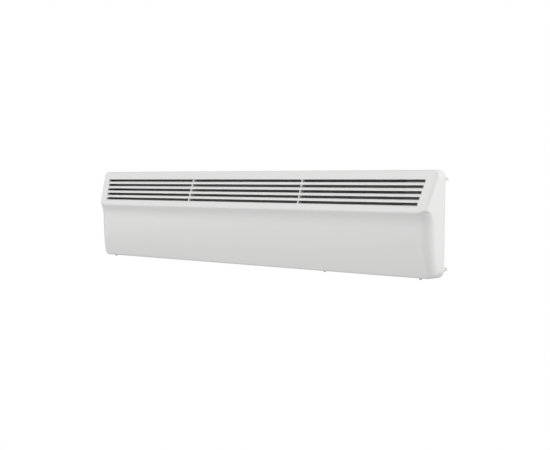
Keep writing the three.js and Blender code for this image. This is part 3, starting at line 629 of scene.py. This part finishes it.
def obround(cx, low, high, radius, steps=16):
    """An upright slot's outline, whose round ends are centred on the low and high points."""
    return arc(cx, high, radius, 0, 180, steps) + arc(cx, low, radius, 180, 360, steps)


def hexagon(cx, cy, radius):
    return arc(cx, cy, radius, 30, 390, 6)[:-1]


def ring(inner, outer, low, high, edge=0.3):
    """The closed profile of a turned ring with chamfered outer edges."""
    start = [(inner, low), (outer - edge, low), (outer, low + edge)]
    return [*start, (outer, high - edge), (outer - edge, high), (inner, high), (inner, low)]


# A pan head's outline, as shares of its radius and of its height below the top.
PAN_HEAD = ((0.5, 0.04), (0.75, 0.14), (0.92, 0.34), (1, 0.6), (1, 1), (0.4, 1))


def screw(node, axis, head_top, tip, head, shank):
    """A pan-head screw with a cross recess: head and shank are (radius, length), tip is its point."""
    way = 1 if tip > head_top else -1
    (radius, height), (thread, pitch) = head, shank
    profile = [(0, head_top)] + [(radius * out, head_top + way * height * down) for out, down in PAN_HEAD]
    start = head_top + way * (height + 0.4)
    turns = int((abs(tip - start) - 1) / pitch)
    for i in range(turns):
        profile.append((thread * 0.8, start + way * i * pitch))
        profile.append((thread, start + way * (i + 0.5) * pitch))
    profile += [(thread * 0.8, start + way * turns * pitch), (0, tip)]
    middle = middle_of(node)
    centre = (middle.x, middle.y, 0) if axis == "z" else (middle.x, 0, middle.z)
    piece = lathe(node + "_turned", profile, centre, axis, 32)
    across = (middle.x, middle.y) if axis == "z" else (middle.x, middle.z)
    recess = sorted((head_top - way, head_top + way * 0.55 * height))
    cut(piece, prism("recess", plus(*across, radius * 0.55, radius * 0.12), *recess, axis))
    return finished(piece, node)


# ---- underside: grille, screws, sensor

GRILLE_PITCH, GRILLE_COUNT, GRILLE_SLOT = 34.0, 24, (28.0, 5.6)
GRILLE_ROWS = (-20.5, -12.3)  # the front edge of each row's slots


def intake_grille():
    """The plate in the underside, with two rows of slots."""
    low, high = node_box("intake_grille")
    sensor = middle_of("room_sensor")
    outline = rounded_rectangle((low.x, high.x), (low.y, high.y), 1.5)
    plate = prism("grille_plate", outline, low.z, high.z, "z")
    cutters = [through(circle(sensor.x, sensor.y, 3), low.z, high.z)]
    for side in SIDES:
        spot = middle_of("casing_screw_" + side)
        cutters.append(through(circle(spot.x, spot.y, CASING_SCREW_HOLE), low.z, high.z))
    length, width = GRILLE_SLOT
    for i in range(GRILLE_COUNT):
        x = (i - (GRILLE_COUNT - 1) / 2) * GRILLE_PITCH
        if abs(x - sensor.x) <= GRILLE_PITCH / 2:
            continue  # the sensor takes the place of two slots
        for y in GRILLE_ROWS:
            shape = rounded_rectangle((x - length / 2, x + length / 2), (y, y + width), width / 2 - 0.05)
            cutters.append(through(shape, low.z, high.z))
    cut(plate, *cutters)
    return finished(plate, "intake_grille", 0.15)


def dome(radius, rise, base, towards):
    """A dome's profile from its crown out to its rim: its base is a level, towards is 1 or -1."""
    turns = [math.radians(a) for a in range(10, 91, 10)]
    rings = [(radius * math.sin(t), base + towards * rise * math.cos(t)) for t in turns]
    return [(0, base + towards * rise), *rings]


def room_sensor():
    """The sensor's probe: a domed tip below the grille, with grooves above it."""
    low, high, middle = extent("room_sensor")
    radius, rise = 2.5, 2.0
    grooved = []
    for z in (0.2, 1.2, 2.2):
        grooved += [(radius, z), (radius - 0.25, z + 0.15), (radius - 0.25, z + 0.45), (radius, z + 0.6)]
    profile = [*dome(radius, rise, low.z + rise, -1), *grooved, (radius, high.z), (0, high.z)]
    return finished(lathe("sensor_probe", profile, (middle.x, middle.y, 0), "z", 32), "room_sensor")


front_casing()
intake_grille()
room_sensor()
for side in SIDES:
    node = "casing_screw_" + side
    low, high = node_box(node)
    screw(node, "z", low.z, high.z, (2.8, 3.3), (1.35, 1.0))

# ---- back: tray, screws, stand-offs, gland

SHEET = 1.2
BEAD_XS = (-400, -345, -290, -150, -90, -30, 30, 90, 150, 290, 345, 395)  # pressed ribs, clear of the hooks
BEAD_ZS, BEAD_RADIUS, BEAD_RISE = (42, 176), 4.5, 1.6
PAN_HALF, PAN_ZS, PAN_CORNER = 448.0, (14.0, 204.0), 10.0  # the tray's raised middle
FLANGE_YS = (-1.6, -0.4)
GLAND_HOLE = 6.3
HOOK_LEVELS, HOOK_X, HOOK_WIDTH, HOOK_LIP = (78.0, 130.0), 220.0, 24.0, 12.0
BRACKET_SHEET = 1.5
STANDOFF_STEM_X = 461.5


def rear_tray():
    """The pressed tray: a pan with ribs and holes, in a flange that closes the casing's back."""
    low, high = node_box("rear_tray")
    deep = high.y
    (bottom, top), half = PAN_ZS, PAN_HALF
    corners = (BOTTOM_CORNER - 1.5, TOP_CORNER - 1.5)
    flange_outline = rounded_rectangle((low.x, high.x), (low.z, high.z), *corners, 12)
    flange = prism("flange", flange_outline, *FLANGE_YS, "y")
    pan_outline = rounded_rectangle((-half, half), (bottom, top), PAN_CORNER, steps=10)
    pan = prism("pan", pan_outline, FLANGE_YS[0], deep, "y")
    rounded(pan, 1.0, 4, 60)
    tray = unite(flange, pan)
    for x in BEAD_XS:
        bead = prism("bead", obround(x, *BEAD_ZS, BEAD_RADIUS), deep - SHEET / 2, deep + BEAD_RISE, "y")
        rounded(bead, 1.3, 4, 60)
        unite(tray, bead)
    inner_xs, inner_zs = (SHEET - half, half - SHEET), (bottom + SHEET, top - SHEET)
    inner_outline = rounded_rectangle(inner_xs, inner_zs, PAN_CORNER - SHEET, steps=10)
    cut(tray, prism("inside", inner_outline, -3, deep - SHEET, "y"))
    for x in BEAD_XS:
        bead_inside = obround(x, *BEAD_ZS, BEAD_RADIUS - SHEET)
        cut(tray, prism("hollow", bead_inside, deep - 3, deep + BEAD_RISE - SHEET, "y"))
    cutters = []
    for side, way in SIDES.items():
        for level in ("lower", "upper"):
            spot = middle_of(f"tray_screw_{level}_{side}")
            cutters.append(through(circle(spot.x, spot.z, 1.8), 0, 0, "y", 3))
            stem_z = middle_of(f"standoff_{level}_{side}").z
            cutters.append(through(circle(way * STANDOFF_STEM_X, stem_z, 2.3), 0, 0, "y", 3))
        for level in HOOK_LEVELS:
            zs = (level - 16, level + BRACKET_SHEET + 0.3)
            xs = (way * HOOK_X - HOOK_WIDTH / 2 - 2, way * HOOK_X + HOOK_WIDTH / 2 + 2)
            cutters.append(prism("hook_slot", rounded_rectangle(xs, zs, 1.2), deep - 4, deep + 2, "y"))
    gland = middle_of("cable_gland")
    cutters.append(prism("gland_hole", circle(gland.x, gland.z, GLAND_HOLE), deep - 4, deep + 2, "y"))
    cut(tray, *cutters)
    return finished(tray, "rear_tray", angle=32)


def stand_off_stem(x, z, tip):
    """The pin that holds a stand-off in the tray."""
    return lathe("stem", [(0, tip), (1.7, tip), (2, tip + 0.4), (2, 1), (0, 1)], (x, 0, z), "y")


def stand_off_peg(node, way):
    """The lower stand-off: a round peg with two grooves."""
    low, high, middle = extent(node)
    radius = 4.2
    profile = [(0, 0), (radius, 0)]
    for y in (3.0, 7.0):
        profile += [(radius, y), (radius - 0.3, y + 0.3), (radius - 0.3, y + 0.9), (radius, y + 1.2)]
    end = high.y
    profile += [(radius, end - 0.5), (radius - 0.15, end - 0.15), (radius - 0.5, end), (0, end)]
    peg = lathe(node + "_turned", profile, (way * (STANDOFF_STEM_X + 1), 0, middle.z), "y")
    unite(peg, stand_off_stem(way * STANDOFF_STEM_X, middle.z, low.y))
    return finished(peg, node)


def stand_off_hook(node, way):
    """The upper stand-off: a bent strip, its top sloping down to a rounded nose."""
    low, high, middle = extent(node)
    reach = high.y
    front = [(0, low.z), (reach - 0.6, low.z), (reach, low.z + 0.6)]
    nose = arc(reach - 2.2, low.z + 1.8, 2.2, 0, 65, 8)
    outline = [*front, *nose, (reach - 8, low.z + 6), (reach - 13, high.z), (0, high.z)]
    x = way * STANDOFF_STEM_X
    hook = prism(node + "_bent", outline, x - 5, x + 5, "x")
    rounded(hook, 0.8, 4)
    unite(hook, stand_off_stem(x, middle.z, low.y))
    return finished(hook, node)


def thread_profile(radius, low, high, pitch):
    """A closed rod's profile with thread ridges all along."""
    profile = [(0, low), (radius - 0.6, low)]
    turns = int((high - low) / pitch)
    for i in range(turns):
        profile.append((radius - 0.4, low + i * pitch + 0.1))
        profile.append((radius, low + (i + 0.5) * pitch))
    return [*profile, (radius - 0.4, high), (0, high)]


def cable_gland():
    """The gland in the tray: a threaded body, a hexagonal collar and a fluted dome, with an open bore."""
    low, high, middle = extent("cable_gland")
    centre = (middle.x, 0, middle.z)
    deep = node_box("rear_tray")[1].y
    body = lathe("gland_thread", thread_profile(6.0, low.y, deep + 1, 1.0), centre, "y")
    collar = prism("collar", hexagon(middle.x, middle.z, 9), deep + 0.3, deep + 3, "y")
    rounded(collar, 0.5)
    end = high.y
    steps, flute_count, flute_depth = 96, 12, 0.3
    fluted = []
    for i in range(steps):
        turn = 2 * math.pi * i / steps
        radius = 6.3 + flute_depth * math.cos(flute_count * turn)
        fluted.append((middle.x + radius * math.cos(turn), middle.z + radius * math.sin(turn)))
    cap = [(0, end - 3), (6.0, end - 3), (6.0, end - 2), (5.6, end - 0.6), (5.0, end), (0, end)]
    unite(body, collar)
    unite(body, prism("flutes", fluted, deep + 2, end - 2, "y"))
    unite(body, lathe("cap", cap, centre, "y"))
    cut(body, through(circle(middle.x, middle.z, 4), low.y, high.y, "y", 2))
    return finished(body, "cable_gland")


def gland_nut():
    """The hexagonal nut that holds the gland from inside."""
    low, high, middle = extent("gland_nut")
    nut = prism("nut", hexagon(middle.x, middle.z, 8.6), low.y, high.y, "y")
    rounded(nut, 0.5)
    cut(nut, through(circle(middle.x, middle.z, GLAND_HOLE), low.y, high.y, "y"))
    return finished(nut, "gland_nut")


rear_tray()
cable_gland()
gland_nut()
for side, way in SIDES.items():
    stand_off_peg("standoff_lower_" + side, way)
    stand_off_hook("standoff_upper_" + side, way)
    for level in ("lower_", "upper_"):
        node = "tray_screw_" + level + side
        low, high = node_box(node)
        screw(node, "y", high.y, low.y, (3.1, 2.0), (1.4, 1.0))

# ---- wall bracket and latches

PLATE_HALF, PLATE_ZS = 260.0, (70.0, 150.0)
WALL_HOLE_X, WALL_HOLE_Z, WALL_HOLE = 200, 25, 2.75  # from the plate's middle, and the holes' radius
WINDOW_XS, WINDOW_LENGTH, WINDOW_HALF = (-130, 50), 80, 18
STRAP_DEPTH = 15  # how far the straps that carry the latches stand out
LATCH_PIVOT_Y, LATCH_HOLE = 21.0, 2.3


def wall_bracket():
    """The plate on the wall, with its holes and windows, four hooks and two straps for the latches."""
    low, high = node_box("wall_bracket")
    back, front = high.y, high.y - BRACKET_SHEET
    middle_z = sum(PLATE_ZS) / 2
    plate_outline = rounded_rectangle((-PLATE_HALF, PLATE_HALF), PLATE_ZS, 8, steps=12)
    plate = prism("plate", plate_outline, front, back, "y")
    cutters = []
    for x in (-WALL_HOLE_X, WALL_HOLE_X):
        for z in (middle_z - WALL_HOLE_Z, middle_z + WALL_HOLE_Z):
            cutters.append(through(circle(x, z, WALL_HOLE), front, back, "y"))
    for x in WINDOW_XS:
        window_zs = (middle_z - WINDOW_HALF, middle_z + WINDOW_HALF)
        window = rounded_rectangle((x, x + WINDOW_LENGTH), window_zs, 6)
        cutters.append(through(window, front, back, "y"))
    cut(plate, *cutters)
    for x in (-HOOK_X, HOOK_X):
        for level in HOOK_LEVELS:
            inner = low.y + BRACKET_SHEET
            root, upper, lip = back - 0.5, level + BRACKET_SHEET, level + HOOK_LIP
            arm = [(low.y, level), (root, level), (root, upper), (inner, upper)]
            outline = [*arm, (inner, lip), (low.y, lip)]
            hook = prism("hook", outline, x - HOOK_WIDTH / 2, x + HOOK_WIDTH / 2, "x")
            unite(plate, hook)
        end, top, under, foot = back - STRAP_DEPTH, high.z, high.z - BRACKET_SHEET, PLATE_ZS[1] - 4
        strap_outline = [(back, foot), (back, top), (end, top), (end, under), (front, under), (front, foot)]
        strap = prism("strap", strap_outline, x - 9, x + 9, "x")
        hole = prism("rivet_hole", circle(x, LATCH_PIVOT_Y, LATCH_HOLE), top - 4, top + 2, "z")
        cut(strap, hole)
        unite(plate, strap)
    return finished(plate, "wall_bracket", 0.3)


def latch(node):
    """A flat arm on its rivet, with a fin to turn it by."""
    low, high = node_box(node)
    x = middle_of(node).x
    radius, thickness = 5.0, 3.0
    outline = obround(x, low.y + radius, LATCH_PIVOT_Y, radius)
    arm = prism(node + "_arm", outline, low.z, low.z + thickness, "z")
    fin_outline = [
        (low.y + 2, low.z + thickness - 0.5),
        *arc(low.y + 5, high.z - 3, 3, 180, 90, 8),
        *arc(LATCH_PIVOT_Y - 8, high.z - 3, 3, 90, 0, 8),
        (LATCH_PIVOT_Y - 5, low.z + thickness - 0.5),
    ]
    unite(arm, prism("fin", fin_outline, x - 1, x + 1, "x"))
    hole = through(circle(x, LATCH_PIVOT_Y, LATCH_HOLE), low.z, low.z + thickness, "z", 2)
    cut(arm, hole)
    return finished(arm, node, 0.3)


def rivet(node):
    """A domed rivet whose lower end is spread."""
    low, high = node_box(node)
    shank, head, rise, under = 2, 3.4, 1.1, high.z - 1.5
    upset = [(shank, low.z + 1.6), (3.2, low.z + 1.6), (3.2, low.z + 0.5), (2.7, low.z), (0, low.z)]
    profile = [*dome(head, rise, high.z - rise, 1), (head, under), (shank, under), *upset]
    piece = lathe(node + "_turned", profile, (middle_of(node).x, LATCH_PIVOT_Y, 0), "z")
    return finished(piece, node)


wall_bracket()
for side in SIDES:
    latch("latch_" + side)
    rivet("latch_rivet_" + side)

# ---- heating element

HUB_RADIUS, WING_REACH, WING_THICKNESS = 7.0, 22.0, 1.6
FIN_PITCH, FIN_GAP, FIN_ROOT = 8.0, 1.6, 9.5  # the wings are slit into fins down to the root radius
FIN_CHAMFER = 0.8
SHEATH_RADIUS = 4.25


def heater_core():
    """The aluminium element: a hub with four wings, each slit into fins."""
    low, high, middle = extent("heater_core")
    centre = (0, middle.y, middle.z)
    core = lathe("core_hub", ring(SHEATH_RADIUS + 0.3, HUB_RADIUS, low.x, high.x, 0.2), centre, "x")
    count = int((high.x - low.x) / FIN_PITCH)
    outline = [(low.x, HUB_RADIUS - 1)]
    for i in range(count):
        start = low.x + i * FIN_PITCH
        end = start + FIN_PITCH - FIN_GAP
        outline += [(start, WING_REACH - FIN_CHAMFER), (start + FIN_CHAMFER, WING_REACH)]
        outline += [(end - FIN_CHAMFER, WING_REACH), (end, WING_REACH - FIN_CHAMFER)]
        if i < count - 1:
            outline += [(end, FIN_ROOT), (start + FIN_PITCH, FIN_ROOT)]
    outline.append((low.x + count * FIN_PITCH - FIN_GAP, HUB_RADIUS - 1))
    for turn in (45, 135, 225, 315):
        c, s = math.cos(math.radians(turn)), math.sin(math.radians(turn))
        points = []
        for off in (-WING_THICKNESS / 2, WING_THICKNESS / 2):
            points += [at(x, middle.y + r * c - off * s, middle.z + r * s + off * c) for x, r in outline]
        unite(core, mesh_object("wing", points, prism_faces(len(outline))))
    return finished(core, "heater_core", angle=25)


def heater_sheath():
    """The steel tube in the element, with a bore at each end for its terminal pin."""
    middle, high = middle_of("heater_sheath"), node_box("heater_sheath")[1]
    bore, deep, r = 2.1, 12.0, SHEATH_RADIUS
    half = [(0, high.x - deep), (bore, high.x - deep), (bore, high.x), (r - 0.3, high.x), (r, high.x - 0.3)]
    profile = [(a, -x) for a, x in half] + half[::-1]
    return finished(lathe("sheath_tube", profile, (0, middle.y, middle.z), "x"), "heater_sheath")


def turned_from_ends(node, profile_for):
    """A turned piece on the element's line, its profile given by its inner and outer ends."""
    low, high, middle = extent(node)
    inner, outer = (low.x, high.x) if middle.x > 0 else (high.x, low.x)
    way = 1 if outer > inner else -1
    profile = [(radius, inner + way * distance) for radius, distance in profile_for(abs(outer - inner))]
    return finished(lathe(node + "_turned", profile, (0, middle.y, middle.z), "x"), node)


def pin_profile(length):
    """A terminal pin with three grooves."""
    radius = 1.7
    grooves = []
    for d in (18, 20, 22):
        grooves += [(radius, d), (radius - 0.25, d + 0.5), (radius, d + 1)]
    return [(0, 0), (radius, 0), *grooves, (radius, length - 0.5), (radius - 0.5, length), (0, length)]


def insulator_profile(length):
    """A ceramic bead round a terminal pin."""
    return ring(2.1, SHEATH_RADIUS, 0, length, 0.7)


def bush_profile(length):
    """A ceramic bush round the sheath, with a flange at its inner end."""
    inner, outer, flange, flange_length, edge = SHEATH_RADIUS + 0.3, 8.0, 10.0, 4.7, 0.5
    flange_part = [(inner, 0), (flange - edge, 0), (flange, edge), (flange, flange_length - edge)]
    body_part = [(outer, flange_length), (outer, length - edge), (outer - edge, length), (inner, length)]
    return [*flange_part, (flange - edge, flange_length), *body_part, (inner, 0)]


heater_core()
heater_sheath()
for side in SIDES:
    turned_from_ends("terminal_pin_" + side, pin_profile)
    turned_from_ends("pin_insulator_" + side, insulator_profile)
    turned_from_ends("support_bush_" + side, bush_profile)

# ---- controls

STRIP_Y = middle_of("control_panel").y
BUTTON_RADIUS, BUTTON_FLANGE = 3.4, 4.1
BUTTON_SHELF = 2.2  # how far below the casing's top the flange that keeps a button in lies
ROCKER_X, ROCKER_PIVOT_Z = 435.0, 215.0
ROCKER_TILT, ROCKER_HALF, ROCKER_RISE = 7.0, 6.4, 4.1
BUTTONS = ("button_down", "button_up", "button_mode", "button_timer")


def broken_ring(cx, cy, inner, outer):
    """A ring's outline with a narrow gap at its top."""
    return arc(cx, cy, outer, 100, 440, 40) + arc(cx, cy, inner, 440, 100, 40)


def button_marks(node, x, y):
    """Outlines of the plain symbol on a button: minus, plus, three bars, or a clock."""
    if node == "button_down":
        return [rectangle(x, y, 1.4, 0.28)]
    if node == "button_up":
        return [plus(x, y, 1.4, 0.28)]
    if node == "button_mode":
        return [rectangle(x, y + step, 1.2, 0.2) for step in (-0.8, 0, 0.8)]
    half, short, long = 0.17, 0.75, 0.95
    across = [(x - half, y - half), (x + short, y - half), (x + short, y + half), (x + half, y + half)]
    hands = [*across, (x + half, y + long), (x - half, y + long)]
    return [broken_ring(x, y, 1.25, 1.6), hands]


def marked(piece, node, name, outlines, low, high, slot):
    """Sinks a sign into the top of a piece. Low and high are the inlay's underside and top."""
    cut(piece, *[prism("mark", outline, low, high + 2, "z") for outline in outlines])
    inlay = join(name, [prism("inlay", outline, low + 0.01, high, "z") for outline in outlines])
    smooth(inlay, 30)
    inlay.data.materials.append(MATERIALS[slot])
    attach(inlay, BODY_OF[node])


def button(node):
    """A push button with a dished top, kept in by a flange."""
    low, high, middle = extent(node)
    shelf = HEIGHT - BUTTON_SHELF
    top = high.z
    dish = [(0, top - 0.22), (1.2, top - 0.19), (2.1, top - 0.1), (2.8, top)]
    edge = arc(BUTTON_RADIUS - 0.35, top - 0.35, 0.35, 90, 0, 5)
    flange = [(BUTTON_RADIUS, shelf), (BUTTON_FLANGE, shelf), (BUTTON_FLANGE, low.z), (0, low.z)]
    cap = lathe(node + "_cap", [*dish, *edge, *flange], (middle.x, middle.y, 0), "z")
    marks = button_marks(node, middle.x, middle.y)
    marked(cap, node, node + "_symbol", marks, top - 0.5, top - 0.26, "black_plastic")
    return finished(cap, node, angle=40)


def control_panel():
    """The strip in the casing's top, with holes for the buttons, the display and the switch."""
    low, high = node_box("control_panel")
    outline = rounded_rectangle((low.x, high.x), (low.y, high.y), 0.5)
    panel = prism("strip", outline, low.z, high.z, "z")
    holes = []
    for node in BUTTONS:
        spot = middle_of(node)
        holes.append(circle(spot.x, spot.y, BUTTON_RADIUS + HOLE_GAP))
    window_low, window_high = node_box("display_window")
    window_xs = (window_low.x - HOLE_GAP, window_high.x + HOLE_GAP)
    window_ys = (window_low.y - HOLE_GAP, window_high.y + HOLE_GAP)
    holes.append(rounded_rectangle(window_xs, window_ys, 0.6))
    switch_y = middle_of("power_switch").y
    holes.append(rounded_rectangle((ROCKER_X - 7.2, ROCKER_X + 7.2), (switch_y - 4, switch_y + 4), 0.4))
    cut(panel, *[through(hole, low.z, high.z) for hole in holes])
    return finished(panel, "control_panel", 0.12)


def display_window():
    """The display's glossy lens."""
    low, high = node_box("display_window")
    outline = rounded_rectangle((low.x, high.x), (low.y, high.y), 0.5)
    return finished(prism("lens", outline, low.z, high.z, "z"), "display_window", 0.2)


def rocker_point(x, z):
    """A point of the tilted rocker's section, from its own x and height above the pivot."""
    c, s = math.cos(math.radians(ROCKER_TILT)), math.sin(math.radians(ROCKER_TILT))
    return ROCKER_X + x * c + z * s, ROCKER_PIVOT_Z - x * s + z * c


def rocker():
    """The power switch's cap, dished along its top, with a bar sunk in one half and a ring in the other."""
    half, rise, dish, mark_x = ROCKER_HALF, ROCKER_RISE, 1.5, 3.6
    low, high = node_box("power_switch")
    side = [(-half + 0.6, -0.5), (half - 0.6, -0.5), (half, rise)]
    side += curve((half, rise), (0, rise - dish), (-half, rise), 16)
    piece = prism("rocker_cap", [rocker_point(x, z) for x, z in side], low.y, high.y, "y")
    rounded(piece, 0.3)
    on_x, on_z = rocker_point(-mark_x, rise - 0.51)
    off_x, off_z = rocker_point(mark_x, rise - 0.51)
    for name, sign, z in (
        ("on", rectangle(on_x, STRIP_Y, 0.22, 1.2), on_z),
        ("off", broken_ring(off_x, STRIP_Y, 0.9, 1.3), off_z),
    ):
        marked(piece, "power_switch", "power_switch_" + name, [sign], z - 0.6, z - 0.3, "white_plastic")
    return finished(piece, "power_switch")


control_panel()
display_window()
rocker()
for node in BUTTONS:
    button(node)

# ---- all other nodes: rounded copies

SOFTEN = {"sensor_holder": 0.5, "terminal_block": 0.4, "control_relay": 0.4, "switch_body": 0.4}
for node in NODES:
    if node in SHAPED:
        continue
    wire = node.startswith("wire_")
    piece = copied(node)
    if not wire:
        rounded(piece, SOFTEN.get(node, 0.2))
    smooth(piece, 60 if wire else 35)
    place(piece, node)

# ---- studio

FLOOR_HALF, FLOOR_DROP = 1.1, 1.1  # metres: half its side, and its depth below the heater
CAMERA_PLACE = (925.7, -1372.3, 200.9)  # in the casing's millimetres
CAMERA_TILT, CAMERA_TURN, CAMERA_LENS, CAMERA_SENSOR = 86.25, 32.07, 45.8, 36
SURROUND = 0.22  # strength of the even light from all round
LIGHTS = {  # place, size (metres) and power of each soft light, all turned to the heater
    "side": ((2.6, 0.85, 0.6), (1.4, 2.2), 41),
    "back_top": ((0.6, 0.8, 2.2), (2.4, 1.2), 9),
    "right": ((2.8, -0.4, 0.2), (1.4, 2.2), 7.5),
    "low": ((0.2, -1.2, -0.95), (2.4, 1.4), 4.3),
    "left": ((-2.6, -1.2, 0.3), (1.4, 2.2), 19.5),
    "high_front": ((0, -2.2, 1.8), (2.4, 1.4), 48),
    "back": ((-0.6, 2.8, 0.8), (2.4, 1.6), 22),
}


def area_light(name, spot, size, power):
    """A soft light turned to the heater."""
    light = bpy.data.lights.new(name, "AREA")
    light.shape = "RECTANGLE"
    light.size, light.size_y = size
    light.energy = power
    lamp = bpy.data.objects.new(name, light)
    bpy.context.scene.collection.objects.link(lamp)
    lamp.location = spot
    lamp.rotation_euler = (-Vector(spot)).to_track_quat("-Z", "Y").to_euler()


def studio():
    """A heater hung in an open studio: a pale floor well below it, and broad soft lights."""
    corners = rectangle(0, 0, FLOOR_HALF, FLOOR_HALF)
    floor = mesh_object("floor", [(x, y, CASING_LOW.z - FLOOR_DROP) for x, y in corners], [[0, 1, 2, 3]])
    paint = surface("floor_paint", (0.85, 0.85, 0.85), 0.8, drift=0.01, grain=40, depth=1e-5)
    floor.data.materials.append(paint)
    world = bpy.data.worlds.new("studio")
    bpy.context.scene.world = world
    world.use_nodes = True
    tree = world.node_tree
    surround = tree.nodes["Background"]
    surround.inputs["Color"].default_value = (1, 1, 1, 1)
    surround.inputs["Strength"].default_value = SURROUND
    backdrop = add(tree, "ShaderNodeBackground", {"Color": (1, 1, 1, 1), "Strength": 1.0})
    choice = add(tree, "ShaderNodeMixShader")
    camera_ray = add(tree, "ShaderNodeLightPath").outputs["Is Camera Ray"]
    tree.links.new(camera_ray, choice.inputs["Fac"])
    tree.links.new(surround.outputs["Background"], choice.inputs[1])
    tree.links.new(backdrop.outputs["Background"], choice.inputs[2])
    tree.links.new(choice.outputs["Shader"], tree.nodes["World Output"].inputs["Surface"])
    for name, (spot, size, power) in LIGHTS.items():
        area_light(name, spot, size, power)


def camera():
    """The camera, from a little above the grille and to the right."""
    lens = bpy.data.cameras.new("camera")
    lens.sensor_width = CAMERA_SENSOR
    lens.lens = CAMERA_LENS
    lens.clip_end = 200
    eye = bpy.data.objects.new("camera", lens)
    bpy.context.scene.collection.objects.link(eye)
    eye.location = at(*CAMERA_PLACE)
    eye.rotation_euler = (math.radians(CAMERA_TILT), 0, math.radians(CAMERA_TURN))
    bpy.context.scene.camera = eye


studio()
camera()
bpy.context.scene.view_settings.view_transform = "Standard"
